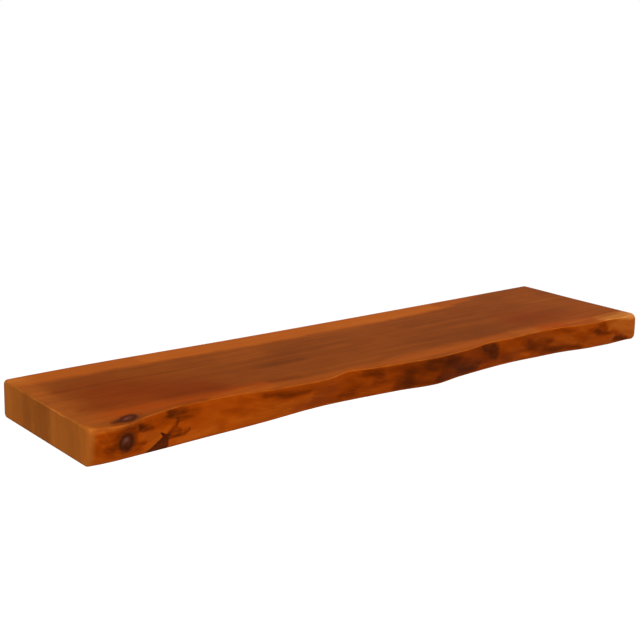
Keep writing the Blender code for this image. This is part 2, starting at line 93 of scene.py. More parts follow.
# Marks: (shade, redness, softness, (place, height, radius), ...). A stroke runs through its
# points. Its shade and redness, in hundredths, are added to the face's own and cover those of
# the marks before it. Places and heights are x and z on the front and the back, x and y on
# the top and the underside, and y and z on the ends.
FRONT_MARKS = (
    (-12, 0, 34, (-140, -3, 2), (-92, 0, 12), (-34, -2, 10)),
    (-30, 0, 16, (-8, 0, 16), (60, 0, 20), (132, 0, 16)),
    (-14, -10, 14, (152, 0, 18), (238, 0, 18)),
    (-4, -10, 14, (252, 0, 18), (340, 0, 18)),
    (5, -30, 16, (356, 4, 16), (400, 4, 20)),
    # Painted highlights: the next two strokes are a pale line along the lit upper arris, near the right
    # end and from the left corner
    (28, -50, 5, (354, 18, 0.5), (366, 17, 2), (400, 16.5, 3)),
    (32, -10, 5, (-400, 16.5, 3), (-390, 16.5, 2), (-376, 16.5, 1.5), (-358, 18, 0.3)),
    (-1, -30, 7, (-399, -16, 1.0), (-399, 16, 1.0)),
    (-10, 10, 8, (-390, 0, 4), (-378, 5, 5), (-376, -9, 3)),
    (-8, 20, 3.0, (-393, 10.5, 0.6), (-377, 11.0, 1.0)),
    (-16, 20, 3, (-388, 5, 0.8), (-379, 4.5, 1.0)),
    (-42, 20, 5, (-381, -3.5, 1.4), (-376, -4.5, 1.6)),
    (-28, 0, 6, (-365, 4, 8.5), (-360, -3, 7.5)),
    (-25, 0, 5, (-372, 12, 1.0), (-364, 13, 3), (-356, 12.5, 2.5)),
    (-60, 0, 4, (-348, 10.8, 1.2), (-341, 8.6, 3.2), (-334, 6.8, 2.2)),
    (-15, 10, 6, (-338, 12, 3), (-322, 10, 3)),
    (0, -10, 6, (-341, 0, 3), (-330, -1, 4.5), (-331, -7, 3)),
    (-24, 30, 3, (-356, -4.5, 1.4), (-341, -7, 0.8)),
    (-17, 30, 5, (-354, -9, 2), (-346, -12, 2)),
    (-13, 10, 7, (-328, 12, 3), (-284, 11, 4)),
    (-48, 0, 5, (-312, 15, 3), (-304, 12, 5), (-296, 12.5, 3)),
    (-24, 0, 4, (-300, 8.5, 1.5), (-287, 8, 1)),
    (-16, 0, 4, (-317, 7, 1.0), (-308, 6, 2.5)),
    (-30, 0, 4, (-313, -3.5, 1.5), (-302, -4, 1.5)),
    (-42, 0, 2.0, (-314, -4.2, 0.9), (-310.5, -1, 0.6), (-305, 2, 0.5), (-302.5, 10, 0.3)),
    (-30, 0, 1.8, (-307, 0.5, 0.4), (-299, -3.6, 0.3)),
    (-42, 0, 2.0, (-314, -7.4, 2.2), (-308, -7.8, 0.9), (-296, -8.4, 0.7), (-290.5, -4.2, 0.4)),
    (-28, 0, 1.8, (-298, -8, 0.4), (-295, -3.4, 0.3)),
    (9, -10, 7, (-302, -14.5, 1), (-286, -13, 2), (-262, -11, 3.5)),
    (14, 0, 8, (-242, -9, 4), (-170, -9, 4)),
    (-8, 10, 5, (-252, 4, 1.2), (-230, 4, 1.2)),
    (-10, 10, 6, (-230, 11, 2), (-206, 11, 3)),
    (-24, 30, 4, (-206, 13.5, 1.0), (-190, 12, 2.2), (-178, 9.5, 2.8), (-164, 8.5, 1.6), (-150, 8, 0.5)),
    (-27, 50, 5, (-186, 11.0, 1.0), (-176, 10.0, 1.8), (-168, 9.5, 1)),
    (12, 0, 7, (-180, -5, 3.0), (-146, 0, 3)),
    (-12, 10, 8, (-134, -11, 3), (-108, -9, 5), (-92, -7, 6)),
    (-27, 40, 7, (-96, -9, 3), (-82, -7, 4)),
    (-4, 10, 6, (-110, 14, 1.5), (-92, 14, 1.5)),
    (-28, 20, 5, (-73, 14.5, 2), (-60, 12, 3.3), (-47, 8, 2.0)),
    (-23, 70, 5, (-54, -1, 2), (-44, -2, 2)),
    (2, 20, 7, (-66, -12.5, 2), (-50, -11, 3), (-30, -10, 4)),
    (-19, 10, 6, (-38, 9, 4), (-26, 8, 4)),
    (-26, 10, 8, (-19, 9, 3), (-14, 1, 5), (-15, -12, 3)),
    (-41, 20, 8, (-10, 3, 5), (-5, -3, 7), (-2, -9, 5)),
    (-27, 20, 6, (5, -2, 4), (10, -9, 3)),
    (-19, 10, 7, (16, -6, 4), (30, -8, 3)),
    (-38, 0, 6, (6, 11, 3), (13, 10, 5)),
    (-48, 0, 6, (16, 9, 4.5), (24, 7, 4)),
    (-42, 0, 8, (29, 10, 6), (42, 9, 8), (44, 0, 6)),
    (-51, 0, 7, (50, 8, 7), (60, 5, 7.5), (66, 2, 6)),
    (-35, 50, 6, (46, -6, 2.5), (58, -6.5, 3), (66, -9, 2)),
    (-47, 0, 5, (38, -11, 3), (46, -13, 3), (56, -14, 2)),
    (-19, 10, 6, (74, 13, 3), (92, 8, 4), (106, 4, 3)),
    (-34, 10, 6, (72, 4, 3), (86, 0, 3), (98, -2, 2)),
    (-53, 0, 7, (74, -6, 5), (88, -10, 6), (106, -9, 5)),
    (-42, 0, 5, (108, -6, 4), (114, -10, 3)),
    (-27, 60, 5, (98, 3, 2), (112, 1, 2.5)),
    (-50, -10, 4, (108, 15.5, 1.5), (116, 13, 4), (126, 10, 6), (130, 6, 6)),
    (-44, 0, 5, (134, 5, 6), (138, -1, 5), (141, -5, 2)),
    (-15, 40, 6, (118, -12, 3), (130, -11, 3), (146, -13, 2)),
    (-9, 10, 7, (148, 11, 4), (182, 12, 3)),
    (-25, 30, 7, (150, -1, 2), (160, -8, 4), (172, -12, 3)),
    (-12, 0, 6, (168, 3, 3), (184, -2, 3)),
    (-22, 10, 6, (184, 9, 2), (192, 6, 3)),
    (-37, 10, 7, (196, 5, 3), (203, 1, 5), (212, -1, 4)),
    (4, 80, 5, (191, -9, 1.5), (198, -10, 2.5), (206, -12, 1.5)),
    (-29, 0, 8, (218, 0, 5), (234, 0, 5), (232, -10, 4)),
    (-35, 0, 6, (244, -10, 3.5), (258, -11, 3.5), (272, -11, 3), (286, -13, 2), (300, -15.5, 0.5)),
    (-16, 20, 5, (240, 15, 2), (262, 14.5, 2.5), (276, 13, 1.5)),
    (0, -10, 6, (252, 5, 2), (268, 0, 3.5), (284, -5, 2)),
    (-8, 10, 6, (282, 5, 2), (296, 1, 2.5), (300, -4, 2)),
    (-3, 0, 4, (288, 14.5, 1.2), (308, 14, 1.0)),
    (-22, 20, 5, (300, 8, 1.5), (310, 8, 2.5)),
    (1, 0, 6, (312, -5, 2), (334, -7, 3), (346, -7, 2)),
    (-24, 20, 5, (320, 13, 2), (328, 12, 3), (334, 6, 3)),
    (-36, 0, 4, (315, 6.5, 2.5), (321, 4.5, 3), (326, 3, 2)),
    (-29, 10, 4, (324, 2.5, 1.5), (333, 0.5, 1.6), (347, -1, 0.8)),
    (8, -30, 7, (350, 10, 3), (368, 8, 4)),
    (-7, 10, 6, (350, 1, 2), (360, -3, 2)),
    (-40, 0, 5, (361, -10, 2.5), (370, -11.8, 3.3), (381, -14.5, 2)),
)
TOP_MARKS = (
    (5, 0, 40, (340, -60, 20), (385, -140, 20)),
    (-2, 25, 40, (235, -120, 16), (300, -135, 10)),
    (5, 10, 20, (300, -148, 6), (345, -152, 6)),
    # Red-brown wood, darkened in part as a painted shadow
    (-5, 40, 50, (-326, -100, 26), (-262, -126, 14)),
    (13, 40, 14, (-385, -146, 8), (-330, -147, 7), (-258, -150, 5), (-196, -150, 2)),
    (-7, 40, 20, (-290, -128, 4), (-240, -134, 3)),
    (11, -10, 30, (-404, -20, 18), (-398, -80, 12), (-398, -150, 12)),
    (15, -10, 16, (-398, -44, 8), (-394, -74, 5)),
    (20, 10, 7, (-420, -16, 14), (-330, -16, 14), (-250, -16, 15)),
    (27, 10, 7, (-240, -16, 15), (-150, -17, 18), (40, -17, 19), (130, -16, 18), (205, -14, 14)),
    (17, 10, 9, (205, -13, 12), (250, -9, 9), (300, -2, -4)),
    (28, -20, 16, (-398, -12, 10), (-388, -14, 6)),
    (-6, 20, 12, (-374, -62, 1), (-350, -62, 4), (-330, -62, 2)),
    (-9, 30, 12, (-378, -120, 1), (-356, -120, 4), (-338, -119, 2)),
    (-12, 0, 7, (-170, -104, 0.5), (-148, -106, 4), (-126, -105.5, 3.5), (-104, -107, 0.5)),
    (-6, 20, 7, (-184, -150, 0.5), (-166, -150, 3), (-150, -151, 0.5)),
    (-5, 0, 32, (-120, -75, 10), (-84, -74, 8)),
    (5, 0, 24, (-170, -58, 4), (-135, -58, 6)),
    (5, 0, 12, (-40, -43, 2), (60, -45, 2)),
    (-7, 0, 40, (60, -128, 8), (165, -128, 10)),
    (-5, 0, 5, (178, -47, 1.0), (242, -48, 0.6)),
    (-3, 0, 5, (78, -61, 1.0), (242, -64, 0.8)),
    (-5, 0, 6, (78, -71, 2), (202, -73, 1.5)),
    (-3, 0, 6, (40, -92, 1.5), (150, -95, 1.0)),
    (20, 20, 6, (-262, -157, 1), (-215, -159, 6), (-180, -163, 6)),
    (12, 10, 7, (-180, -164, 6), (-120, -167, 6), (-80, -164, 5), (-40, -169, 6)),
    (14, 10, 9, (-40, -168, 6), (0, -167, 8), (100, -167, 8), (180, -166, 8)),
    (19, 0, 12, (185, -166, 8), (212, -167, 8)),
    (18, 40, 12, (228, -167, 8), (262, -168, 8)),
    (17, 20, 12, (280, -170, 8), (330, -177, 8)),
    (37, -50, 16, (335, -182, 6), (366, -182, 8)),
    # Golden wood at the front right corner, paler at its end as a painted highlight where the corner
    # catches the light
    (42, -90, 14, (382, -183, 8), (398, -184, 10)),
    (-20, 30, 5, (-373, -166, 0.8), (-364, -165, 3.0)),
)
UNDER_MARKS = (
    (-24, 0, 8, (-352, -150, 6), (-340, -142, 4)),
    (-16, 20, 12, (-330, -60, 4), (-250, -64, 4)),
    (-14, 0, 10, (-120, -104, 3), (40, -110, 4)),
    (20, 0, 16, (-220, -24, 12), (180, -20, 14)),
    (-18, 10, 12, (150, -70, 4), (240, -66, 5)),
    (-20, 10, 10, (300, -130, 5), (350, -124, 3)),
    (12, 0, 20, (-300, -150, 8), (-100, -150, 8)),
    (-22, 10, 9, (60, -150, 8), (110, -148, 4)),
)
BACK_MARKS = (
    (-18, 10, 6, (-190, 6, 2), (-90, 4, 3)),
    (14, 0, 8, (-60, -6, 4), (120, -8, 5)),
    (-14, 10, 6, (60, 9, 2), (180, 7, 2)),
    (-20, 0, 6, (330, -4, 4), (370, -6, 2)),
)
LEFT_MARKS = (
    (-8, 0, 6, (-54, -19, 9), (-54, 19, 9)),
    (-10, 0, 6, (-82, -19, 14), (-84, 19, 14)),
    (5, 0, 4, (-105, -19, 2), (-105, 19, 2)),
    (4, 10, 14, (-160, -19, 4), (-166, 19, 8)),
    (5, 0, 14, (-14, -19, 8), (-14, 19, 8)),
)
RIGHT_MARKS = (
    (-10, 10, 10, (-40, -19, 6), (-44, 19, 6)),
    (-12, 0, 12, (-92, -19, 9), (-98, 19, 9)),
    (-8, 20, 10, (-135, -19, 5), (-142, 19, 5)),
)

# Knots: (face, place, height, half width, half height, lean in degrees, strength)
KNOTS = (
    ("front", -363.7, 0.2, 7.2, 9.2, 14, 1.00),
    ("front", 131.0, 7.0, 6.5, 8.0, 30, 0.25),
    ("top", -356.5, -163.0, 11.0, 6.6, 26, 1.00),
    ("under", -349.0, -148.0, 8.0, 7.0, 0, 0.90),
    ("under", 84.0, -151.0, 10.0, 7.0, 15, 0.70),
    ("under", 318.0, -132.0, 7.0, 5.5, -10, 0.80),
)

# Bark caught in the front: the depth of its pocket, and strokes of (place, height, radius)
BARK_DEPTH = 1.6
BARK = (
    ((-338, -17.5, 1.2), (-330, -14.6, 2.6), (-323, -11.5, 4.0), (-318.3, -8.5, 4.0)),
    ((-334, -19, 2.6), (-326, -18, 3.2), (-318, -15, 3.8), (-318, -8, 3.6)),
    ((-318.5, -5.6, 2.2), (-323.6, -1.0, 0.5)),
    ((-317, -5.6, 1.8), (-313.6, -4.0, 0.5)),
)

# How far the top of the board lies above its CAD solid along the back, by place
BACK_CROOK = (
    (-400, 0.8), (-360, 1.2), (-300, 1.4), (-220, 0.9), (-140, 0.3), (-40, 0.0), (120, 0.0), (240, 0.2),
    (330, 0.5), (400, 0.6),
)

# Relief of a knot by its face: its depth and the height of its rim, then in shares of its
# radius where its floor begins, where the rim is, and half the rim's width
KNOT_RELIEF = {
    "front": (0.55, 0.25, 0.2, 1.15, 0.35),
    "top": (0.30, 0.10, 0.3, 1.10, 0.30),
    "under": (0.30, 0.10, 0.3, 1.10, 0.30),
}

# How far a knot's heart lies above its middle, in shares of its half height
KNOT_OFF_CENTRE = 0.4

# Where knots and bark lie farther off than this, they are taken to be this far off
FAR = 9.0

# Added to the sum of the faces' weights, so that nothing is divided by 0
LEAST_WEIGHT = 1e-6

# How far the growth rings' centre lies behind the board's back and below its middle
PITH_BEHIND, PITH_BELOW = 300.0, 50.0

# Fineness of the fittings, the angle up to which a piece's edges are shaded smooth, and a
# cutter's overlap on a face that it only just meets
SIDES_FINE, SIDES_THREAD, STEPS_PER_TURN, ARC_STEPS = 64, 48, 8, 28
SMOOTH_UP_TO = math.radians(40)
TOUCH = 0.01

# Line of a thread's flanks: the share of its depth that is cut away along a wave from 0 to 1,
# which is held at 0 on the crest and at 1 in the root
FLANK_SLOPE, FLANK_START = 1.35, 0.15

# Fittings: what their plain CAD solids don't show. Their broken edges, a few tenths wide,
# are written where they are turned
PLATE_EASE = ((0.5, 0.0), (0.15, 0.15), (0.0, 0.5))
PLATE_HOLE_EASE = 0.5
ROD_PITCH, ROD_ROOT, ROD_CHAMFER = 1.75, 5.0, 1.2
THREAD_TOP = 18.0
RELIEF_WIDTH, RELIEF_DEPTH = 2.0, 0.8
NUT_CHAMFER, NUT_FACE_BACK, NUT_HOLE_EASE = 1.0, 0.6, 0.7
SCREW_RADIUS, SCREW_ROOT, SCREW_PITCH = 2.5, 1.7, 2.4
SCREW_PLAIN, SCREW_POINT = 10.0, 6.0
RECESS_DEPTH = 2.2
RECESS_TIP, RECESS_MOUTH = (2.2, 0.6), (5.0, 1.2)
PLUG_COLLAR, PLUG_LIP, PLUG_SLOT = 12.0, 1.0, 1.0
PLUG_RIBS, PLUG_RIB_PITCH, PLUG_RIB_DEPTH = 5, 5.0, 0.6
INSERT_PITCH, INSERT_THREAD_DEPTH = 1.7, 0.6
INSERT_SLOT_WIDTH, INSERT_SLOT_DEPTH = 1.0, 1.2
LOCK_PITCH, LOCK_THREAD_DEPTH = 1.0, 0.5
SOCKET_CORNER, SOCKET_DEPTH = 3.0 / math.sqrt(3), 3.5

# Camera, fitted to the board's edges in the photograph: its lens in millimetres, its place in
# metres, and how far it is turned to the right, tilted down and rolled, in degrees
LENS = 63.06
CAMERA_PLACE = Vector((-0.85514, -0.98274, 0.36311))
YAW, PITCH, ROLL = (math.radians(angle) for angle in (41.349, 14.596, 2.396))

# Stage, in metres: the floor with its grey and the light that it gives off by itself, the
# strength of the sky, and the lamps as (name, place, size, power in watts)
FLOOR_HEIGHT, FLOOR_HALF = -1.75, 9.0
FLOOR_GREY, FLOOR_LIFT = 0.86, 0.57
SKY_LIGHT = 0.51
LAMPS = (
    ("key", (-1.7, -1.9, 2.6), 2.6, 78.0),
    ("fill", (2.3, -2.0, 1.5), 2.4, 29.0),
)


def rise(value, low, high):
    """0 at low, 1 at high, and a smooth step between them; low may be the larger."""
    share = np.clip((value - low) / (high - low), 0, 1)
    return share * share * (3 - 2 * share)


class Field:
    """A smooth random field from -1 to 1: seeded values on a lattice, blended between."""

    CELLS = 64

    def __init__(self, seed):
        shape = (self.CELLS,) * 3
        self.values = np.random.default_rng(seed).uniform(-1, 1, shape)

    def at(self, x, y, z):
        """Its values at places that are given in cells."""
        places = np.stack(np.broadcast_arrays(x, y, z), -1).astype(float)
        cells = np.floor(places).astype(int)
        share = places - cells
        share = share * share * (3 - 2 * share)
        total = 0.0
        for corner in itertools.product((0, 1), repeat=3):
            weight = np.prod(np.where(corner, share, 1 - share), -1)
            i, j, k = np.moveaxis((cells + corner) % self.CELLS, -1, 0)
            total = total + weight * self.values[i, j, k]
        return total


BROAD, MIDDLE, SMALL = Field(11), Field(23), Field(37)


def smooth_through(xs, values, at):
    """A cubic through (x, value) points, with slopes from the neighbours."""
    slopes = np.gradient(values, xs)
    i = np.clip(np.searchsorted(xs, at, "right") - 1, 0, len(xs) - 2)
    span = xs[i + 1] - xs[i]
    t = (at - xs[i]) / span
    return (
        values[i] * (2 * t**3 - 3 * t**2 + 1)
        + values[i + 1] * (3 * t**2 - 2 * t**3)
        + span * (slopes[i] * (t**3 - 2 * t**2 + t) + slopes[i + 1] * (t**3 - t**2))
    )


def vectors(items, name):
    """A vector of each vertex or face of a mesh, as rows."""
    values = np.empty(len(items) * 3)
    items.foreach_get(name, values)
    return values.reshape(-1, 3)


def box(node):
    """The lowest and the highest corner of a CAD node."""
    return np.array(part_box(node)) / MM


def reach_out(node):
    """The radius of a fitting that lies along Y, and how far out of the wall it begins and ends."""
    low, high = box(node)
    return (high[0] - low[0]) / 2, -high[1], -low[1]


def reach_up(node):
    """The radius of a fitting that stands in the board, and the heights at which it begins and ends."""
    low, high = box(node)
    return (high[0] - low[0]) / 2, low[2], high[2]


def out_of_wall(node):
    """The frame of a fitting that lies along Y: its middle on the wall plane, and Z out of the wall."""
    x = box(node).mean(0)[0] * MM
    return Matrix.Translation((x, 0, 0)) @ Matrix.Rotation(math.pi / 2, 4, "X")


def upright(node):
    """The frame of a fitting that stands in the board, at its own middle's x and y."""
    x, y, _ = box(node).mean(0) * MM
    return Matrix.Translation((x, y, 0))


# Radii of the holes that let the rods and the locking screws through
ROD_HOLE = reach_out("support_rod_left")[0] + SEAT_GAP
LOCK_HOLE = reach_up("locking_screw_left")[0] + SEAT_GAP


def eased(arris, inset):
    """An arris where its two sides have drawn in by this inset towards an end."""
    return np.maximum(arris - inset / 2, LEAST_ARRIS)


def cad_live_edge():
    """The CAD board's stations: x, and its front's y at the upper and at the lower arris."""
    corners = vectors(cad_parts["shelf_board"].data.vertices, "co") / MM
    front = corners[corners[:, 1] < ONLY_FRONT]
    rows = []
    for x in np.unique(np.round(front[:, 0], 2)):
        station = front[np.abs(front[:, 0] - x) < SAME_WITHIN]
        inset = HALF_THICKNESS - station[:, 2].max()
        straight = HALF_THICKNESS - inset - eased(FRONT_ARRIS, inset) - SAME_WITHIN
        upper = station[station[:, 2] > straight, 1].min() - inset
        lower = station[station[:, 2] < -straight, 1].min() - inset
        rows.append((x, upper, lower))
    return np.array(rows).T


LIVE_EDGE = cad_live_edge()


def upper_arris(x):
    """The live edge's upper arris: crisp along the middle and soft at both corners."""
    softness = np.maximum(rise(x, *SOFT_LEFT), rise(x, *SOFT_RIGHT))
    return CRISP_ARRIS + (SOFT_ARRIS - CRISP_ARRIS) * softness


def lower_arris(x):
    """The live edge's lower arris, which is rounder at the right corner."""
    return LOWER_ARRIS + (LOWER_CORNER - LOWER_ARRIS) * rise(x, *CORNER_FADE)


def front_edges(x):
    """The front's y at the upper and at the lower arris, anywhere along the board."""
    stations, upper, lower = LIVE_EDGE
    forward = TIP_FORWARD * rise(x, *FORWARD_FADE)
    return smooth_through(stations, upper, x), smooth_through(stations, lower, x) - forward


def front_depth(x, y, z):
    """How far each place lies behind the front's face."""
    upper, lower = front_edges(x)
    return y - upper - (lower - upper) * np.clip(0.5 - z / (2 * HALF_THICKNESS), 0, 1)


def stroke_gap(points, across, up):
    """Distance from each place to the edge of a stroke, negative inside it."""
    nearest = np.full(np.shape(across), np.inf)
    for (x0, z0, r0), (x1, z1, r1) in zip(points, points[1:]):
        dx, dz = x1 - x0, z1 - z0
        share = np.clip(((across - x0) * dx + (up - z0) * dz) / (dx * dx + dz * dz), 0, 1)
        gap = np.hypot(across - x0 - share * dx, up - z0 - share * dz)
        nearest = np.minimum(nearest, gap - r0 - (r1 - r0) * share)
    return nearest


def bark_gap(across, up):
    """Distance from each place on the front to the edge of its caught bark, negative inside it."""
    return np.min([stroke_gap(points, across, up) for points in BARK], 0)


def ragged(across, up, amount):
    """Waver of a mark's edge along the grain."""
    return amount * (BROAD.at(across / 12, up / 3.6, 3.5) + 0.7 * SMALL.at(across / 5, up / 1.6, 7.5))


def knot_reach(knot, across, up):
    """Distance from a knot's heart, which lies above its middle; 1 at its rim."""
    _, x, z, wide, high, lean, _ = knot
    turn = math.radians(lean)
    dx, dz = across - x, up - z
    along = (dx * math.cos(turn) + dz * math.sin(turn)) / wide
    beside = (dz * math.cos(turn) - dx * math.sin(turn)) / high
    inside = np.maximum(1 - np.hypot(along, beside), 0)
    return np.hypot(along, beside - KNOT_OFF_CENTRE * inside)


def knot_sink(knot, across, up):
    """How deep a knot is sunk into its face, within a raised rim."""
    depth, height, floor, rim, half_width = KNOT_RELIEF[knot[0]]
    reach = knot_reach(knot, across, up)
    return depth * rise(reach, 0.9, floor) - height * rise(np.abs(reach - rim), half_width, 0)


def station_places():
    """x of each section: close together in the rounds of the ends, and finer by the knots."""
    left, right = (max(rounds[end] for rounds in END_ROUNDS.values()) for end in (0, 1))
    first, last = left - HALF_LENGTH, HALF_LENGTH - right
    turns = np.radians(90 * np.arange(END_STEPS + 1) / END_STEPS)
    places = [first - left * math.cos(a) for a in turns]
    x = first
    while True:
        fine = math.prod(rise(x, *fade) for fade in FINE_FADES)
        x += COARSE_STEP + (FINE_STEP - COARSE_STEP) * fine
        if x > last - COARSE_STEP / 2:
            break
        places.append(x)
    return np.array(places + [last + right * math.sin(a) for a in turns])


def drawn_in(x, side):
    """How far one side of the board draws in at each station, in quarter rounds at both ends."""
    left, right = END_ROUNDS[side]
    from_left = np.clip(left - HALF_LENGTH - x, 0, left)
    from_right = np.clip(x + right - HALF_LENGTH, 0, right)
    return left - np.sqrt(left**2 - from_left**2) + right - np.sqrt(right**2 - from_right**2)


def points(y, z):
    """Points (y, z) at every station."""
    return np.stack(np.broadcast_arrays(y, z), -1)


def quarter(y, z, radius, start):
    """Points (y, z) of a quarter round at every station, turning anticlockwise from start degrees."""
    turns = np.radians(start + 90 * np.arange(ARRIS_STEPS + 1) / ARRIS_STEPS)
    radius = radius[:, None]
    return points(y[:, None] + radius * np.cos(turns), z[:, None] + radius * np.sin(turns))


def run(start, end, shares):
    """Points (y, z) from start to end at every station, at these shares of the way."""
    shares = np.asarray(shares)[None, :, None]
    return start[:, None, :] * (1 - shares) + end[:, None, :] * shares


def face_shares():
    """Shares of the way over a sawn face from its back, closer together near the live edge."""
    few = FACE_STEPS - NEAR_FRONT_STEPS
    sparse = NEAR_FRONT * np.arange(few) / few
    dense = NEAR_FRONT + (1 - NEAR_FRONT) * np.arange(NEAR_FRONT_STEPS + 1) / NEAR_FRONT_STEPS
    return np.concatenate((sparse, dense))


def board_sides(x):
    """The outline at every station as its top, front, bottom and back, each from corner to corner."""
    upper, lower = front_edges(x)
    top = HALF_THICKNESS - drawn_in(x, "top")
    bottom = drawn_in(x, "bottom") + TIP_RISE * rise(x, *RISE_FADE) - HALF_THICKNESS
    inset = drawn_in(x, "front")
    over, under = eased(upper_arris(x), inset), eased(lower_arris(x), inset)
    upper, lower = upper + inset + over, lower + inset + under
    back = -drawn_in(x, "back") - BACK_ARRIS
    shares = face_shares()
    top_side = run(points(back, top), points(upper, top), shares)
    bottom_side = run(points(back, bottom), points(lower, bottom), shares)[:, ::-1]
    high, low = quarter(upper, top - over, over, 90), quarter(lower, bottom + under, under, 180)
    shares = np.arange(1, FRONT_STEPS) / FRONT_STEPS
    between = run(high[:, -1], low[:, 0], shares)
    belly = FRONT_BELLY * rise(x, *BELLY_FADE)
    between[:, :, 0] -= belly[:, None] * np.sin(math.pi * shares)
    front_side = np.concatenate((high, between, low), 1)
    ease = np.full(len(x), BACK_ARRIS)
    low, high = quarter(back, bottom + ease, ease, 270), quarter(back, top - ease, ease, 0)
    back_side = np.concatenate((low, run(low[:, -1], high[:, 0], shares), high), 1)
    return top_side, front_side, bottom_side, back_side


def end_cap(sides, station, x):
    """Points inside a sawn end, blended from its four sides, as a grid (top to bottom, back to front)."""
    top, front, bottom, back = (side[station] for side in sides)
    bottom, back = bottom[::-1], back[::-1]
    s = np.linspace(0, 1, len(top))[None, :, None]
    t = np.linspace(0, 1, len(front))[:, None, None]
    grid = (1 - t) * top[None] + t * bottom[None] + (1 - s) * back[:, None] + s * front[:, None]
    grid -= (1 - t) * ((1 - s) * top[0] + s * top[-1]) + t * ((1 - s) * bottom[0] + s * bottom[-1])
    inner = grid[1:-1, 1:-1]
    return np.concatenate((np.full((*inner.shape[:2], 1), x), inner), -1).reshape(-1, 3)


def quads(grid):
    """Faces between the neighbours in a grid of vertex numbers."""
    corners = grid[:-1, :-1], grid[:-1, 1:], grid[1:, 1:], grid[1:, :-1]
    return np.stack(corners, -1).reshape(-1, 4).tolist()


def tube(count, around, closed=False):
    """Faces from ring to ring; where the tube is closed, its last ring meets its first."""
    numbers = np.arange(count * around).reshape(count, around)
    return quads(np.pad(numbers, ((0, int(closed)), (0, 1)), "wrap"))


def cap_grid(outline, inner, down, across):
    """Vertex numbers of a sawn end: its outline, and within it a grid that begins with inner."""
    grid = np.empty((down + 1, across + 1), int)
    grid[1:-1, 1:-1] = inner + np.arange((down - 1) * (across - 1)).reshape(down - 1, -1)
    top, front, bottom, back = np.split(outline, (across, across + down, 2 * across + down))
    grid[0, :-1], grid[:-1, -1], grid[-1, :0:-1], grid[:0:-1, 0] = top, front, bottom, back
    return grid


def board_mesh():
    """The plank: a loft through its stations, its two sawn ends, and its relief."""
    x = station_places()
    sides = board_sides(x)
    across, down = (side.shape[1] - 1 for side in sides[:2])
    outlines = np.concatenate([side[:, :-1] for side in sides], 1)
    count, around = outlines.shape[:2]
    wall = np.concatenate((np.repeat(x[:, None, None], around, 1), outlines), -1)
    places, faces = wall.reshape(-1, 3), tube(count, around)
    for station in (0, count - 1):
        outline = station * around + np.arange(around)
        faces += quads(cap_grid(outline, len(places), down, across))
        places = np.concatenate((places, end_cap(sides, station, x[station])))
    return closed_mesh("board_blank", relieved(places), faces)


def relieved(places):
    """The board's points with their relief: waves, knots and caught bark, and a top not quite flat."""
    x, y, z = places.T
    waves = 0.45 * (BROAD.at(x / 38, 0.5, z / 16) - 0.3) + 0.20 * MIDDLE.at(x / 13, 4.5, z / 7)
    pocket = rise(bark_gap(x, z) + ragged(x, z, 0.3), 0.4, -1.8) * rise(z, -15.5, -11)
    inward = BARK_DEPTH * pocket * (1 + 0.25 * SMALL.at(x / 2.2, 1.5, z / 1.6)) - waves
    stations, lifts = np.array(BACK_CROOK).T
    upward = smooth_through(stations, lifts, x) * rise(y, -95, -12) * rise(z, -6, 19)
    left_rim = rise(x, -396.5, -399.2) * rise(z, 14, 17)
    upward -= 0.7 * left_rim * rise(SMALL.at(x / 40, y / 11, 5.5), -0.3, 0.7)
    for knot in KNOTS:
        face, strength = knot[0], knot[-1]
        if face == "front":
            inward += strength * knot_sink(knot, x, z)
        else:
            out = 1 if face == "top" else -1
            upward -= out * knot_sink(knot, x, y) * rise(out * z, 16, 18.8)
    return places + np.stack((0 * x, rise(front_depth(x, y, z), 7, 1) * inward, upward), -1)


def closed_mesh(name, places, faces):
    """A mesh from points and faces, in metres, with its normals pointing outwards."""
    mesh = bpy.data.meshes.new(name)
    mesh.from_pydata([tuple(p) for p in places * MM], [], [tuple(f) for f in faces])
    bm = bmesh.new()
    bm.from_mesh(mesh)
    bmesh.ops.recalc_face_normals(bm, faces=bm.faces)
    bm.to_mesh(mesh)
    bm.free()
    return mesh


def ring(radius, height, sides):
    """Points round Z; the radius may be one number or one for each point."""
    turns = 2 * math.pi * np.arange(sides) / sides
    return np.stack((radius * np.cos(turns), radius * np.sin(turns), np.full(sides, height)), -1)


def rings(profile, sides=SIDES_THREAD):
    """A ring for each (radius, height) of a profile."""
    return [ring(radius, height, sides) for radius, height in profile]


def thread(low, high, pitch, root, crest):
    """Rings of a helical thread from low to high that runs out over its first and last turn."""
    turns = np.arange(SIDES_THREAD) / SIDES_THREAD
    made = []
    for height in np.arange(low, high, pitch / STEPS_PER_TURN):
        wave = np.abs(((height / pitch - turns) % 1) * 2 - 1)
        full = float(rise(height, low, low + pitch) * rise(height, high, high - pitch))
        cut = (crest - root) * full * np.clip(FLANK_SLOPE * wave - FLANK_START, 0, 1)
        made.append(ring(crest - cut, height, SIDES_THREAD))
    return made


def solid(name, stack, closed=False):
    """A closed mesh through a stack of like rings: with two flat ends, or joined end to end as a tube."""
    sides = len(stack[0])
    faces = tube(len(stack), sides, closed)
    if not closed:
        faces += [range(sides), range((len(stack) - 1) * sides, len(stack) * sides)]
    return closed_mesh(name, np.concatenate(stack), faces)


def obround(width, height, at):
    """Points of a plate's outline with round ends along X, at a height on Z."""
    radius = height / 2
    turns = np.pi * (np.arange(ARC_STEPS + 1) / ARC_STEPS - 0.5)
    right = np.stack((width / 2 - radius + radius * np.cos(turns), radius * np.sin(turns)), -1)
    outline = np.concatenate((right, -right))
    return np.concatenate((outline, np.full((len(outline), 1), at)), -1)


def cross(span, width, at):
    """Points of a plus shape across Z."""
    a, b = span / 2, width / 2
    quarter_turn = [(a, -b), (a, b), (b, b)]
    outline = []
    for _ in range(4):
        outline += quarter_turn
        quarter_turn = [(-y, x) for x, y in quarter_turn]
    return np.array([(x, y, at) for x, y in outline])


def bar(span, width, at):
    """Points of the plus shape's bar along X."""
    return cross(span, width, at)[[0, 1, 6, 7]]


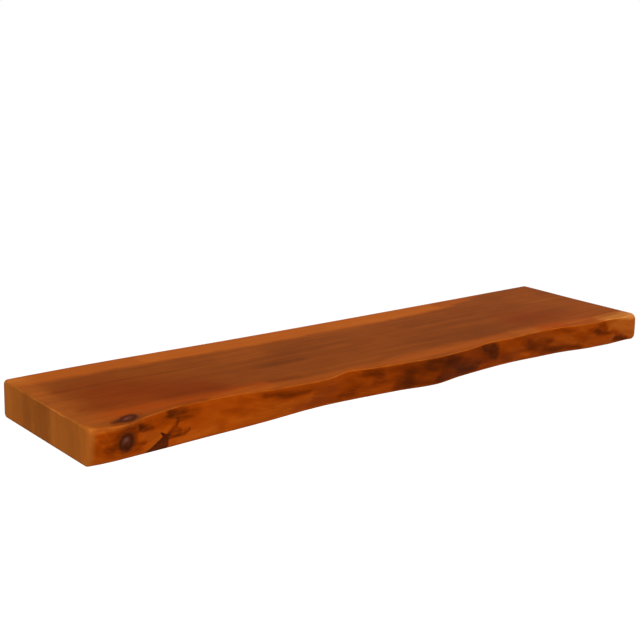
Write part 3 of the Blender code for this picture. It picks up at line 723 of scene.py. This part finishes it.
def moved(mesh, matrix):
    """The mesh itself, after its points have been moved."""
    mesh.transform(matrix)
    return mesh


def carved(name, body, cutters, operation="DIFFERENCE"):
    """The mesh that is left of the body's when the cutters' meshes are taken from it, one by one."""
    scene = bpy.context.scene.collection
    holder = bpy.data.objects.new("holder", body)
    scene.objects.link(holder)
    tools = []
    for mesh in cutters:
        tool = bpy.data.objects.new("tool", mesh)
        scene.objects.link(tool)
        tools.append(tool)
        boolean = holder.modifiers.new("Cut", "BOOLEAN")
        boolean.operation = operation
        boolean.solver = "EXACT"
        boolean.object = tool
    graph = bpy.context.evaluated_depsgraph_get()
    made = bpy.data.meshes.new_from_object(holder.evaluated_get(graph))
    made.name = name
    for obj in (holder, *tools):
        bpy.data.objects.remove(obj, do_unlink=True)
    return made


def hole_cutters(side):
    """What the CAD board has cut out of it for one support, measured from the support's own nodes."""
    plate, insert = f"wall_plate_{side}", f"thread_insert_{side}"
    low, high = box(plate)
    wide, _, tall = high - low + 2 * POCKET_SLIP
    pocket = [obround(wide, tall, at) for at in (-OVERRUN, SEAT_GAP - low[1])]
    mouth = reach_out(f"washer_{side}")[0] + COUNTERBORE_ROOM
    seat = reach_out(f"lock_nut_{side}")[2] + COUNTERBORE_ROOM
    end = reach_out(f"support_rod_{side}")[2] + BORE_END_ROOM
    bore = (
        (mouth, -OVERRUN), (mouth, seat),
        (ROD_HOLE, seat), (ROD_HOLE, end), (ROD_HOLE / 3, end + ROD_HOLE / 2),
    )
    sleeve, foot, step = reach_up(insert) + np.array((SEAT_GAP, -OVERRUN, SEAT_GAP))
    below = (sleeve, foot), (sleeve, step), (LOCK_HOLE, step), (LOCK_HOLE, -ROD_HOLE / 2)
    return [
        moved(solid(f"pocket_{side}", pocket), out_of_wall(plate)),
        moved(solid(f"bore_{side}", rings(bore, SIDES_FINE)), out_of_wall(plate)),
        moved(solid(f"lock_hole_{side}", rings(below)), upright(insert)),
    ]


# Marks, shade, redness and strength of figure of each face where it has no marks
FACE_LOOKS = {
    "front": (FRONT_MARKS, 0.60, 0.97, 1.0),
    "top": (TOP_MARKS, 0.42, 0.52, 0.75),
    "under": (UNDER_MARKS, 0.44, 0.60, 1.0),
    "back": (BACK_MARKS, 0.50, 0.45, 1.0),
    "left": (LEFT_MARKS, 0.59, 0.20, 0.55),
    "right": (RIGHT_MARKS, 0.56, 0.25, 0.6),
}


def face_places(x, y, z, depth):
    """For each face of the board: how much of a point is on it, and the point's two places there."""
    near = rise(depth, 12, 5)
    arris = upper_arris(x)
    upper = rise(z, HALF_THICKNESS - 1.15 * arris, HALF_THICKNESS - 0.25 * arris)
    lower = rise(z, -15, -18.8)
    left = rise(x, -397.2 + 7.2 * near, -399.4 + near)
    right = rise(x, 392, 398)
    middle = (1 - left) * (1 - right)
    back = rise(y, -2.2, -0.8)
    return {
        "front": (near * (1 - upper) * (1 - 0.5 * lower) * middle, x, z),
        "top": (upper * middle, x, y),
        "under": (lower * middle * (1 - 0.6 * near), x, y),
        "back": (back * middle, x, z),
        "left": (left, y, z),
        "right": (right, y, z),
    }


def painted(marks, across, up):
    """What a face's marks add to its shade and redness, each painted over those before it."""
    shade, red = np.zeros((2, len(across)))
    waver = ragged(across, up, 1.0)
    for more, tinge, soft, *stroke in marks:
        gap = stroke_gap(stroke, across, up) + waver * min(0.35 * soft, 3.0)
        mask = rise(gap, soft, -0.5 * soft)
        shade += (more / 100 - shade) * mask
        red += (tinge / 100 - red) * mask
    return shade, red


def face_fields(faces):
    """Shade, marks, redness and strength of figure at each point, from the looks of its faces."""
    total = sum(weight for weight, _, _ in faces.values()) + LEAST_WEIGHT
    shade, mark, red, figure = np.zeros((4, len(total)))
    for face, (marks, own_shade, own_red, own_figure) in FACE_LOOKS.items():
        weight, across, up = faces[face]
        shade += own_shade * weight / total
        figure += own_figure * weight / total
        more, redder = painted(marks, across, up)
        mark += more * weight
        red += own_red * weight / total + redder * weight
    return shade, mark, np.clip(red, 0, 1), figure


def slanting_clouds(x, z):
    """Soft streaks that fall towards the right on the live edge, strongest from the middle on."""
    streaks = 0.08 * MIDDLE.at(x / 30, 2.5, (z + 0.22 * x) / 5)
    streaks += 0.05 * SMALL.at(x / 13, 9.5, (z + 0.3 * x) / 2.6)
    return streaks * (0.35 + 0.65 * rise(x, -280, -60))


def knot_fields(faces):
    """How much of a point is knot, its distance from the heart, the knot's shade, and bent rings."""
    knot, shade, bent = np.zeros((3, len(faces["front"][0])))
    reach = np.full(len(knot), FAR)
    for one in KNOTS:
        face, strength = one[0], one[-1]
        weight, across, up = faces[face]
        near = knot_reach(one, across, up) + 0.18 * SMALL.at(across / 4, up / 4, 2.5)
        bent += weight * 13 * np.exp(-(near**2) / 2.6)
        shade -= weight * strength * 0.08 * rise(near, 2.1, 1.0)
        mask = weight * strength * rise(near, 1.40, 0.72)
        reach = np.where(mask > knot, near, reach)
        knot = np.maximum(knot, mask)
    return knot, np.minimum(reach, FAR), shade, bent


def bark_field(faces, depth):
    """How far inside the caught bark a point lies, less so behind the front's skin."""
    weight, across, up = faces["front"]
    inside = -bark_gap(across, up) - ragged(across, up, 0.2) - 1.2 * np.maximum(depth - 3.0, 0)
    return np.maximum(np.where(weight > 0.05, inside, -FAR), -FAR)


def worn_field(x, y, z, normals):
    """Where the upper arrises are paler: a painted highlight along the lit ridge, and rubbed wear, in
    patches, and little at the left corners.
    """
    bend = 1 - np.abs(normals).max(1)
    wear_and_highlight = rise(bend, 0.12, 0.25) * rise(z, -14, 4) * rise(y, -3, -8)
    along_left = rise(z, 14, 17) * rise(y, -56, -70) * rise(y, -134, -120)
    wear_and_highlight *= 1 - rise(x, -396.0, -398.5) * (1 - along_left)
    patches = SMALL.at(x / 9, y / 9, 6.5) + BROAD.at(x / 50, y / 50, 2.5)
    return wear_and_highlight * (0.35 + 0.65 * rise(patches, -0.6, 0.5))


def painted_fields(places, normals):
    """What the wood's material reads at each point of the board.

    Towards the left the front's marks are left to the material, which breaks them into streaks.
    """
    x, y, z = places.T
    depth = front_depth(x, y, z)
    faces = face_places(x, y, z, depth)
    on_front = faces["front"][0]
    streaky = rise(x, -20, -120) * on_front
    shade, mark, red, figure = face_fields(faces)
    knot, reach, knot_shade, bent = knot_fields(faces)
    heart = np.hypot(y - PITH_BEHIND, z + PITH_BELOW) + bent
    heart += 7 * BROAD.at(x / 170, y / 60, z / 60) + 2.2 * MIDDLE.at(x / 60, y / 25, z / 25)
    shade += (1 - streaky) * mark + on_front * slanting_clouds(x, z) + knot_shade
    # Paler upper arrises are rubbed wear and a painted highlight along the lit ridge
    return {
        "shade": shade, "mark": streaky * mark, "red": red, "figure": figure, "heart": heart,
        "wear_and_highlight": worn_field(x, y, z, normals), "knot": knot, "reach": reach,
        "bark": bark_field(faces, depth),
    }


def inner_faces(mesh):
    """True for each face that a drill or cutter has left inside the board.

    Beside a wall plate, such a face lies deeper than these shares of the back's arris, and
    farther in than these shares of half the thickness.
    """
    x, y, z = (vectors(mesh.polygons, "center") / MM).T
    facing_in = vectors(mesh.polygons, "normal")[:, 2] * z < 0
    beside = np.zeros(len(x), bool)
    for side in SIDES:
        low, high = box(f"wall_plate_{side}")
        beside |= (x > low[0] - POCKET_MARGIN) & (x < high[0] + POCKET_MARGIN)
    bore = y < -1.25 * BACK_ARRIS
    pocket_floor = (y < -0.2 * BACK_ARRIS) & (np.abs(z) < 0.84 * HALF_THICKNESS)
    pocket_wall = (y < -0.05 * BACK_ARRIS) & facing_in
    under_skin = (y > ONLY_FRONT) & (np.abs(z) < 0.985 * HALF_THICKNESS)
    return beside & (bore | pocket_floor | pocket_wall) & under_skin


def add_piece(name, mesh, body, node, place=None):
    """A shown piece that stands for a CAD node and rides on its body."""
    mesh.shade_smooth()
    mesh.set_sharp_from_angle(angle=SMOOTH_UP_TO)
    obj = bpy.data.objects.new(name, mesh)
    bpy.context.scene.collection.objects.link(obj)
    if place:
        obj.matrix_world = place
    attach(obj, body)
    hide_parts(node)


def build_board(oiled, drilled):
    """The board: carved, painted point by point, and with bare wood in its holes."""
    cutters = [cutter for side in SIDES for cutter in hole_cutters(side)]
    mesh = carved("live_edge_board", board_mesh(), cutters)
    fields = painted_fields(vectors(mesh.vertices, "co") / MM, vectors(mesh.vertices, "normal"))
    for name, values in fields.items():
        layer = mesh.attributes.new(name, "FLOAT", "POINT")
        layer.data.foreach_set("value", values.astype(np.float32))
    mesh.materials.clear()
    mesh.materials.append(oiled)
    mesh.materials.append(drilled)
    mesh.polygons.foreach_set("material_index", inner_faces(mesh).astype(np.int32))
    add_piece("live_edge_board", mesh, "shelf", "shelf_board")


def hole_cutter(radius, foot, top, ease):
    """A cutter for a hole from foot to top whose both ends are eased."""
    mouth = radius + ease
    return solid("hole", rings((
        (mouth, foot - OVERRUN), (mouth, foot), (radius, foot + ease),
        (radius, top - ease), (mouth, top), (mouth, top + OVERRUN),
    ), SIDES_FINE))


def wall_plate(name):
    """Plate with eased edges, a threaded hole for the rod and two countersunk holes."""
    low, high = box(name)
    wide, thick, tall = high - low
    rim = [*PLATE_EASE, *((back, thick - at) for back, at in reversed(PLATE_EASE))]
    body = solid(name, [obround(wide - 2 * back, tall - 2 * back, at) for back, at in rim])
    cutters = [hole_cutter(ROD_HOLE, 0, thick, PLATE_HOLE_EASE)]
    shank = SCREW_RADIUS + SEAT_GAP
    for end in "ab":
        screw = name.replace("plate", "screw") + "_" + end
        head, _, face = reach_out(screw)
        head += SEAT_GAP
        sunk = (shank, -OVERRUN), (shank, face - (head - shank)), (head, face), (head, thick + OVERRUN)
        aside = (box(screw) - box(name)).mean(0)[0] * MM
        cutter = solid("sunk_" + end, rings(sunk, SIDES_FINE))
        cutters.append(moved(cutter, Matrix.Translation((aside, 0, 0))))
    return carved(name, body, cutters)


def support_rod(name):
    """Rod with a rolled thread at its foot, a relief groove after it and a chamfered tip."""
    radius, foot, tip = reach_out(name)
    narrow, relief = radius - ROD_CHAMFER, radius - RELIEF_DEPTH
    thread_end, relief_end = THREAD_TOP - RELIEF_DEPTH, THREAD_TOP + RELIEF_WIDTH
    stack = rings(((narrow - 0.8, foot), (narrow, foot + 0.2)))
    stack += thread(foot + ROD_CHAMFER, thread_end, ROD_PITCH, ROD_ROOT, radius)
    stack += rings((
        (radius, thread_end), (relief, THREAD_TOP), (relief, relief_end),
        (radius, relief_end + RELIEF_DEPTH), (radius, (THREAD_TOP + tip) / 2),
        (radius, tip - ROD_CHAMFER - 0.2), (radius - 0.1, tip - ROD_CHAMFER + 0.1),
        (narrow + 0.1, tip - 0.1), (narrow - 0.2, tip),
    ))
    return solid(name, stack)


def washer(name):
    """Stamped washer: one rim is rounded by the punch and the other is left crisp."""
    outer, foot, top = reach_out(name)
    return solid(name, rings((
        (ROD_HOLE, foot + 0.1), (ROD_HOLE + 0.1, foot), (outer - 0.1, foot), (outer, foot + 0.1),
        (outer, top - 0.6), (outer - 0.2, top - 0.2), (outer - 0.6, top),
        (ROD_HOLE + 0.4, top), (ROD_HOLE + 0.1, top - 0.1), (ROD_HOLE, top - 0.4),
    ), SIDES_FINE), closed=True)


def lock_nut(name):
    """Hexagon with both faces chamfered at its corners and a countersunk thread."""
    flat, foot, top = reach_out(name)
    corner = flat * 2 / math.sqrt(3)
    face, far = flat - NUT_FACE_BACK, corner + NUT_CHAMFER
    drop = NUT_CHAMFER * (far - face) / (corner - face)
    body = solid("hexagon", rings(((corner, foot), (corner, top)), 6))
    lens = (face, foot - TOUCH), (far, foot + drop), (far, top - drop), (face, top + TOUCH)
    shaped = carved("nut", body, [solid("lens", rings(lens, SIDES_FINE))], "INTERSECT")
    return carved(name, shaped, [hole_cutter(ROD_HOLE, foot, top, NUT_HOLE_EASE)])


def wall_screw(name):
    """Countersunk wood screw with a cross recess and a coarse thread to its point."""
    head, tip, face = reach_out(name)
    neck = face - (head - SCREW_RADIUS)
    stack = rings(((0.05, tip), (0.5, tip + 1.0), (1.6, tip + 4.2)))
    stack += thread(tip + SCREW_POINT, -SCREW_PLAIN, SCREW_PITCH, SCREW_ROOT, SCREW_RADIUS)
    stack += rings((
        (SCREW_RADIUS, -SCREW_PLAIN), (SCREW_RADIUS, neck - 0.4), (SCREW_RADIUS + 0.2, neck + 0.1),
        (head - 0.1, face - 0.25), (head, face - 0.1), (head - 0.2, face),
    ))
    recess = solid("recess", [
        cross(*RECESS_TIP, face - RECESS_DEPTH),
        cross(*RECESS_MOUTH, face + TOUCH),
        cross(*RECESS_MOUTH, face + OVERRUN),
    ])
    return carved(name, solid(name, stack), [recess])


def wall_plug(name):
    """Nylon plug: a lipped collar, then rounded barbs that are split crosswise."""
    radius, tail, mouth = reach_out(name)
    slim, bore, lip = radius - PLUG_RIB_DEPTH, SCREW_RADIUS + SEAT_GAP, mouth - PLUG_LIP
    profile = [(bore + 0.3, mouth), (radius - 0.1, mouth), (radius, mouth - 0.2)]
    profile += [(radius, lip), (radius - 0.3, lip - 0.3)]
    for rib in range(PLUG_RIBS, 0, -1):
        foot = tail + rib * PLUG_RIB_PITCH
        profile += [
            (radius - 0.1, foot + 0.3), (radius, foot + 0.1), (radius - 0.1, foot - 0.1),
            (slim + 0.1, foot - 0.5), (slim, foot - 0.8),
        ]
    profile += [(slim, tail + 0.4), (slim - 0.3, tail), (bore, tail), (bore, mouth - 0.3)]
    body = solid(name, rings(profile[::-1]), closed=True)
    ends = tail - OVERRUN, mouth - PLUG_COLLAR
    slots = [cross(2 * (radius + OVERRUN), PLUG_SLOT, at) for at in ends]
    return carved(name, body, [solid("split", slots)])


def thread_insert(name):
    """Brass sleeve: a coarse thread outside that bites into the wood, and two slots to drive it."""
    radius, foot, top = reach_up(name)
    root = radius - INSERT_THREAD_DEPTH
    stack = rings((
        (LOCK_HOLE + 0.4, foot), (radius - 0.1, foot), (radius, foot + 0.1),
        (radius, foot + 0.8), (root, foot + 1.0),
    ))
    stack += thread(foot + 1.2, top - 0.6, INSERT_PITCH, root - 0.2, radius - 0.1)
    stack += rings((
        (root, top - 0.4), (root - 0.3, top), (LOCK_HOLE + 0.4, top), (LOCK_HOLE, top - 0.4),
        (LOCK_HOLE, foot + 0.4),
    ))
    ends = foot - OVERRUN, foot + INSERT_SLOT_DEPTH
    slot = [bar(2 * (radius + OVERRUN), INSERT_SLOT_WIDTH, at) for at in ends]
    return carved(name, solid(name, stack, closed=True), [solid("driver_slot", slot)])


def locking_screw(name):
    """Headless screw with a fine thread, a hexagon socket below and a cupped tip on top."""
    radius, foot, top = reach_up(name)
    root, mouth = radius - LOCK_THREAD_DEPTH, SOCKET_CORNER + 0.3
    stack = rings(((root - 0.1, foot), (radius, foot + 0.6)))
    stack += thread(foot + 0.7, top - 0.9, LOCK_PITCH, root, radius)
    stack += rings((
        (radius, top - 0.8), (root - 0.1, top - 0.1), (root - 0.2, top), (0.9, top), (0.3, top - 0.4),
    ))
    socket = (
        (mouth, foot - OVERRUN), (mouth, foot), (SOCKET_CORNER, foot + 0.3),
        (SOCKET_CORNER, foot + SOCKET_DEPTH), (0.2, foot + SOCKET_DEPTH + 0.7),
    )
    return carved(name, solid(name, stack), [solid("socket", rings(socket, 6))])


# Fittings of each side by their body: piece, maker, which is named as the CAD nodes are, what
# both names end in, and finish
FITTINGS = {
    "wall_supports": (
        ("plate", wall_plate, "", "galvanised_steel"),
        ("rod", support_rod, "", "galvanised_steel"),
        ("rod_washer", washer, "", "zinc_plate"),
        ("rod_nut", lock_nut, "", "zinc_plate"),
        ("screw", wall_screw, "_a", "zinc_plate"),
        ("plug", wall_plug, "_a", "grey_nylon"),
        ("screw", wall_screw, "_b", "zinc_plate"),
        ("plug", wall_plug, "_b", "grey_nylon"),
    ),
    "shelf": (
        ("insert", thread_insert, "", "brass"),
        ("lock", locking_screw, "", "zinc_plate"),
    ),
}
FRAMES = {"wall_supports": out_of_wall, "shelf": upright}


def build_fittings():
    """Both supports with their wall fixings, and the inserts and screws that lock the board on them."""
    finishes = {make.__name__: make() for make in (galvanised_steel, zinc_plate, grey_nylon, brass)}
    for side, (body, fittings) in itertools.product(SIDES, FITTINGS.items()):
        for piece, make, end, slot in fittings:
            node = f"{make.__name__}_{side}{end}"
            mesh = make(node)
            mesh.materials.clear()
            mesh.materials.append(finishes[slot])
            add_piece(f"{piece}_{side}{end}", mesh, body, node, FRAMES[body](node))


def tint(red, green, blue):
    """A linear colour from its 8-bit screen values."""
    made = [
        c / 12.92 if c <= 0.04045 else ((c + 0.055) / 1.055) ** 2.4
        for c in (red / 255, green / 255, blue / 255)
    ]
    return (*made, 1.0)


def feed(tree, socket, value):
    """Links an output to the socket, or writes a plain value on it."""
    if isinstance(value, bpy.types.NodeSocket):
        tree.links.new(value, socket)
    else:
        socket.default_value = value


def add_node(tree, kind, *values, **settings):
    """A new node with these settings, and its first inputs fed with these values."""
    made = tree.nodes.new("ShaderNode" + kind)
    for name, setting in settings.items():
        setattr(made, name, setting)
    for socket, value in zip(made.inputs, values):
        feed(tree, socket, value)
    return made


class Finish:
    """A node material in the making: each method adds a node and gives its output."""

    def __init__(self, name):
        self.material = bpy.data.materials.new(name)
        self.material.use_nodes = True
        self.tree = self.material.node_tree
        self.shader = self.tree.nodes["Principled BSDF"]
        self.place = self.node("TexCoord").outputs["Object"]

    def node(self, kind, *values, **settings):
        return add_node(self.tree, kind, *values, **settings)

    def shaded(self, **inputs):
        """The material, with these inputs of its shader fed."""
        for name, value in inputs.items():
            feed(self.tree, self.shader.inputs[name.replace("_", " ")], value)
        return self.material

    def calc(self, operation, *values):
        return self.node("Math", *values, operation=operation).outputs[0]

    def times(self, value, factor):
        return self.calc("MULTIPLY", value, factor)

    def plus(self, onto, value, factor):
        """onto with the value times this factor added to it."""
        return self.calc("MULTIPLY_ADD", value, factor, onto)

    def swung(self, onto, pattern, factor):
        """onto with a pattern added that changes nothing where it is at its middle, 0.5."""
        return self.plus(onto, self.calc("SUBTRACT", pattern, 0.5), factor)

    def joined(self, x, y, z):
        return self.node("CombineXYZ", x, y, z).outputs[0]

    def axis(self, name):
        return self.node("SeparateXYZ", self.place).outputs[name]

    def field(self, name):
        """A value that the mesh holds at each point."""
        return self.node("Attribute", attribute_name=name).outputs["Fac"]

    def noise(self, vector, detail, roughness=0.5, distortion=0.0, scale=1.0):
        node = self.node("TexNoise", vector)
        inputs = {"Scale": scale, "Detail": detail, "Roughness": roughness, "Distortion": distortion}
        for name, value in inputs.items():
            node.inputs[name].default_value = value
        return node.outputs["Fac"]

    def grain(self, cells, detail, roughness=0.5, distortion=0.0):
        """Noise with this many cells in a metre, either one number or one for each axis."""
        if isinstance(cells, tuple):
            vector = self.node("VectorMath", self.place, cells, operation="MULTIPLY").outputs[0]
            return self.noise(vector, detail, roughness, distortion)
        return self.noise(self.place, detail, roughness, distortion, cells)

    def spangle(self, cells):
        """One random value for each crystal, with this many crystals in a metre."""
        node = self.node("TexVoronoi", self.place)
        node.inputs["Scale"].default_value = cells
        return self.node("SeparateXYZ", node.outputs["Color"]).outputs[0]

    def remap(self, value, low, high, to_low=0.0, to_high=1.0):
        """A smooth step from one range to another."""
        numbers = low, high, to_low, to_high
        return self.node("MapRange", value, *numbers, interpolation_type="SMOOTHSTEP").outputs[0]

    def mix(self, share, first, second):
        """A colour between two colours, for which the node has its inputs 6 and 7 and its output 2."""
        node = self.node("Mix", share, data_type="RGBA")
        feed(self.tree, node.inputs[6], first)
        feed(self.tree, node.inputs[7], second)
        return node.outputs[2]

    def ramp(self, value, *stops):
        """A colour from a value by way of stops (place, 8-bit colour)."""
        node = self.node("ValToRGB", value)
        elements = node.color_ramp.elements
        while len(elements) < len(stops):
            elements.new(0.5)
        for element, (place, colour) in zip(elements, stops):
            element.position = place
            element.color = tint(*colour)
        return node.outputs["Color"]

    def bump(self, height, distance, strength, before=None):
        """A normal from a height between 0 and 1, whose whole range is this distance."""
        node = self.node("Bump")
        inputs = {"Height": height, "Distance": distance * MM, "Strength": strength}
        if before:
            inputs["Normal"] = before
        for name, value in inputs.items():
            feed(self.tree, node.inputs[name], value)
        return node.outputs[0]


# Wood colours from its darkest shade to its lightest, as 8-bit screen values: straw brown on
# end grain, red brown on the live edge, and between them on the sawn faces
STRAW_STOPS = (
    (0.00, (64, 34, 14)), (0.20, (98, 54, 21)), (0.40, (132, 74, 26)),
    (0.55, (158, 90, 32)), (0.75, (186, 109, 42)), (1.00, (212, 138, 68)),
)
RED_STOPS = (
    (0.00, (64, 22, 4)), (0.20, (98, 36, 3)), (0.40, (132, 50, 2)),
    (0.55, (158, 63, 4)), (0.75, (186, 84, 10)), (1.00, (212, 116, 34)),
)

# Colours of a knot from its heart to its rim, and of bark
KNOT_STOPS = (
    (0.00, (114, 70, 60)), (0.30, (98, 54, 42)), (0.55, (82, 36, 18)),
    (0.85, (64, 25, 11)), (1.00, (84, 34, 12)),
)
BARK_STOPS = (0.25, (56, 20, 8)), (0.75, (108, 44, 14))

# The wood's gloss: at the photograph's flat angle any more of it hazes the top
WOOD_SHINE = 0.003


def plain_wood(f, bands, lines, blotch, fibres, pores):
    """Colour of the wood with its marks, but without knots and bark."""
    # Paler upper arrises: rubbed wear and a painted highlight along the lit ridge
    shade = f.plus(f.field("shade"), f.field("wear_and_highlight"), 0.30)
    streaks = f.remap(f.grain((70, 430, 430), 3, 0.6), 0.30, 0.70, 0.70, 1.25)
    shade = f.plus(shade, f.field("mark"), streaks)
    quiet = f.remap(f.grain((7, 24, 24), 2), 0.35, 0.65, 0.25, 1.0)
    figure = 0.0
    for pattern, most in ((bands, 0.30), (f.times(lines, quiet), 0.11), (blotch, 0.16), (fibres, 0.11)):
        figure = f.swung(figure, pattern, most)
    shade = f.plus(shade, figure, f.field("figure"))
    shade = f.plus(shade, pores, -0.07)
    return f.mix(f.field("red"), f.ramp(shade, *STRAW_STOPS), f.ramp(shade, *RED_STOPS))


def with_knots(f, colour, x, blotch):
    """The wood's colour with its knots in it, whose rings and edges are uneven."""
    reach = f.field("reach")
    turns = f.noise(f.joined(f.times(reach, 9.0), f.times(x, 30.0), 0.0), 2)
    heartwood = f.ramp(f.swung(reach, turns, 0.45), *KNOT_STOPS)
    rough_edge = f.swung(f.field("knot"), blotch, 0.7)
    return f.mix(f.times(f.remap(rough_edge, 0.05, 0.75), 0.92), colour, heartwood)


def oiled_wood():
    """Oiled flat-sawn plank: growth bands and fibres along X, marks, knots and caught bark."""
    f = Finish("oiled_wood")
    x, heart = f.axis("X"), f.field("heart")
    bands = f.noise(f.joined(f.times(x, 4.0), f.times(heart, 0.20), 0.0), 4, 0.55, 0.4)
    lines = f.noise(f.joined(f.times(x, 9.0), f.times(heart, 1.1), 4.0), 3, 0.6, 0.3)
    blotch = f.grain((26, 60, 60), 3, 0.55)
    fibres = f.grain((22, 850, 850), 2, 0.6)
    pores = f.remap(f.grain((240, 2600, 2600), 1), 0.66, 0.74)
    crumbs = f.grain((700, 700, 700), 4, 0.65)
    colour = plain_wood(f, bands, lines, blotch, fibres, pores)
    colour = with_knots(f, colour, x, blotch)
    bark = f.remap(f.swung(f.field("bark"), crumbs, 1.6), -0.5, 0.5)
    colour = f.mix(bark, colour, f.ramp(crumbs, *BARK_STOPS))
    roughness = f.calc("MAXIMUM", f.plus(0.40, fibres, 0.16), f.times(bark, 0.85))
    normal = f.bump(lines, 0.10, 0.5)
    normal = f.bump(f.plus(fibres, pores, -0.8), 0.05, 0.6, normal)
    normal = f.bump(f.times(crumbs, bark), 0.60, 0.8, normal)
    return f.shaded(Base_Color=colour, Roughness=roughness, Normal=normal, Specular_IOR_Level=WOOD_SHINE)


def drilled_wood():
    """Bare wood inside the pockets and bores, with the cutter's rings and torn fibres."""
    f = Finish("drilled_wood")
    fibres = f.grain((60, 900, 900), 3, 0.6)
    turns = f.noise(f.joined(0.0, f.times(f.axis("Y"), 2600), 0.0), 2)
    scorch = f.grain((120, 160, 120), 3)
    shade = f.plus(f.times(fibres, 0.70), turns, 0.30)
    colour = f.ramp(shade, (0.25, (146, 84, 42)), (0.50, (184, 116, 62)), (0.75, (206, 142, 86)))
    colour = f.mix(f.remap(scorch, 0.60, 0.80, 0.0, 0.55), colour, tint(84, 44, 22))
    normal = f.bump(turns, 0.12, 0.6)
    normal = f.bump(fibres, 0.12, 0.8, normal)
    return f.shaded(Base_Color=colour, Roughness=0.82, Normal=normal, Specular_IOR_Level=0.2)


def galvanised_steel():
    """Hot dipped steel: spangles of differing grey, a dull bloom and fine scratches."""
    f = Finish("galvanised_steel")
    spangle, bloom = f.spangle(420), f.grain(90, 4, 0.6)
    scratches = f.grain((2400, 2400, 160), 2, 0.6)
    grey = f.plus(f.times(bloom, 0.65), spangle, 0.35)
    colour = f.ramp(grey, (0.20, (150, 153, 157)), (0.50, (176, 179, 182)), (0.80, (202, 204, 205)))
    rough = f.plus(f.plus(0.24, spangle, 0.12), bloom, 0.22)
    normal = f.bump(spangle, 0.02, 0.4)
    normal = f.bump(scratches, 0.02, 0.5, normal)
    return f.shaded(Base_Color=colour, Metallic=1.0, Roughness=rough, Normal=normal)


def zinc_plate():
    """Bright zinc with a faint blue and straw cast, duller where it was handled."""
    f = Finish("zinc_plate")
    cast = f.grain(160, 3, 0.5, 0.6)
    handled = f.grain(520, 4, 0.65)
    turned = f.grain((300, 300, 5200), 2, 0.6)
    colour = f.ramp(cast, (0.30, (192, 198, 206)), (0.50, (204, 204, 202)), (0.70, (210, 204, 184)))
    colour = f.mix(f.remap(handled, 0.55, 0.75, 0.0, 0.45), colour, tint(150, 148, 144))
    rough = f.plus(0.16, handled, 0.24)
    return f.shaded(Base_Color=colour, Metallic=1.0, Roughness=rough, Normal=f.bump(turned, 0.03, 0.5))


def grey_nylon():
    """Grey moulded nylon: a cloudy colour, a fine grain and paler scuffs in patches."""
    f = Finish("grey_nylon")
    grain = f.grain(2600, 3, 0.6)
    scuffs = f.grain((500, 500, 90), 4, 0.7)
    colour = f.ramp(f.grain(140, 3), (0.30, (150, 152, 154)), (0.70, (172, 174, 175)))
    colour = f.mix(f.remap(scuffs, 0.60, 0.78, 0.0, 0.5), colour, tint(202, 203, 203))
    rough = f.plus(0.42, scuffs, 0.25)
    return f.shaded(Base_Color=colour, Roughness=rough, Normal=f.bump(grain, 0.04, 0.6))


def brass():
    """Turned brass: fine tool lines, and a brown tarnish in patches."""
    f = Finish("brass")
    turned = f.grain((200, 200, 6400), 2, 0.6)
    tarnish = f.grain(420, 4, 0.6)
    colour = f.ramp(turned, (0.25, (196, 158, 84)), (0.75, (224, 188, 112)))
    colour = f.mix(f.remap(tarnish, 0.50, 0.78, 0.0, 0.7), colour, tint(150, 104, 52))
    rough = f.plus(0.18, tarnish, 0.25)
    return f.shaded(Base_Color=colour, Metallic=1.0, Roughness=rough, Normal=f.bump(turned, 0.03, 0.5))


def seen_plainly(tree):
    """1 for rays that show the background: from the camera, or by way of gloss or glass."""
    rays = add_node(tree, "LightPath").outputs
    shown = rays["Is Camera Ray"]
    for name in ("Is Glossy Ray", "Is Transmission Ray"):
        shown = add_node(tree, "Math", shown, rays[name], operation="MAXIMUM").outputs[0]
    return shown


def build_world():
    """A plain sky: it lights softly, and the camera sees it white."""
    world = bpy.data.worlds.new("studio")
    bpy.context.scene.world = world
    world.use_nodes = True
    tree = world.node_tree
    sky = tree.nodes["Background"]
    sky.inputs["Color"].default_value = (1, 1, 1, 1)
    level = add_node(tree, "MapRange", seen_plainly(tree), 0.0, 1.0, SKY_LIGHT, 1.0)
    tree.links.new(level.outputs[0], sky.inputs["Strength"])


def build_floor():
    """A plain pale floor far below the shelf, which keeps the shelf's shadow."""
    bm = bmesh.new()
    bmesh.ops.create_grid(bm, x_segments=8, y_segments=8, size=FLOOR_HALF)
    mesh = bpy.data.meshes.new("floor")
    bm.to_mesh(mesh)
    bm.free()
    floor = bpy.data.objects.new("floor", mesh)
    floor.location.z = FLOOR_HEIGHT
    bpy.context.scene.collection.objects.link(floor)
    f = Finish("pale_floor")
    f.shaded(Base_Color=(FLOOR_GREY, FLOOR_GREY, FLOOR_GREY, 1), Roughness=0.9, Specular_IOR_Level=0.0)
    lift = f.times(seen_plainly(f.tree), FLOOR_LIFT)
    mesh.materials.append(f.shaded(Emission_Color=(1, 1, 1, 1), Emission_Strength=lift))


def build_lamps():
    """Large soft lamps that face the shelf from the front."""
    for name, place, size, power in LAMPS:
        light = bpy.data.lights.new(name, "AREA")
        light.shape = "SQUARE"
        light.size = size
        light.energy = power
        lamp = bpy.data.objects.new(name, light)
        lamp.location = place
        lamp.rotation_euler = (-Vector(place)).to_track_quat("-Z", "Y").to_euler()
        lamp.visible_camera = False
        bpy.context.scene.collection.objects.link(lamp)


def build_camera():
    """The camera of the photograph: looking along Y, turned to the right, tilted down, and rolled."""
    right, down = Matrix.Rotation(-YAW, 4, "Z"), Matrix.Rotation(math.pi / 2 - PITCH, 4, "X")
    camera = bpy.data.cameras.new("camera")
    camera.lens = LENS
    holder = bpy.data.objects.new("camera", camera)
    turned = right @ down @ Matrix.Rotation(ROLL, 4, "Z")
    holder.matrix_world = Matrix.Translation(CAMERA_PLACE) @ turned
    bpy.context.scene.collection.objects.link(holder)
    bpy.context.scene.camera = holder


build_camera()
build_world()
build_floor()
build_lamps()
build_board(oiled_wood(), drilled_wood())
build_fittings()

bpy.context.scene.view_settings.view_transform = "Standard"
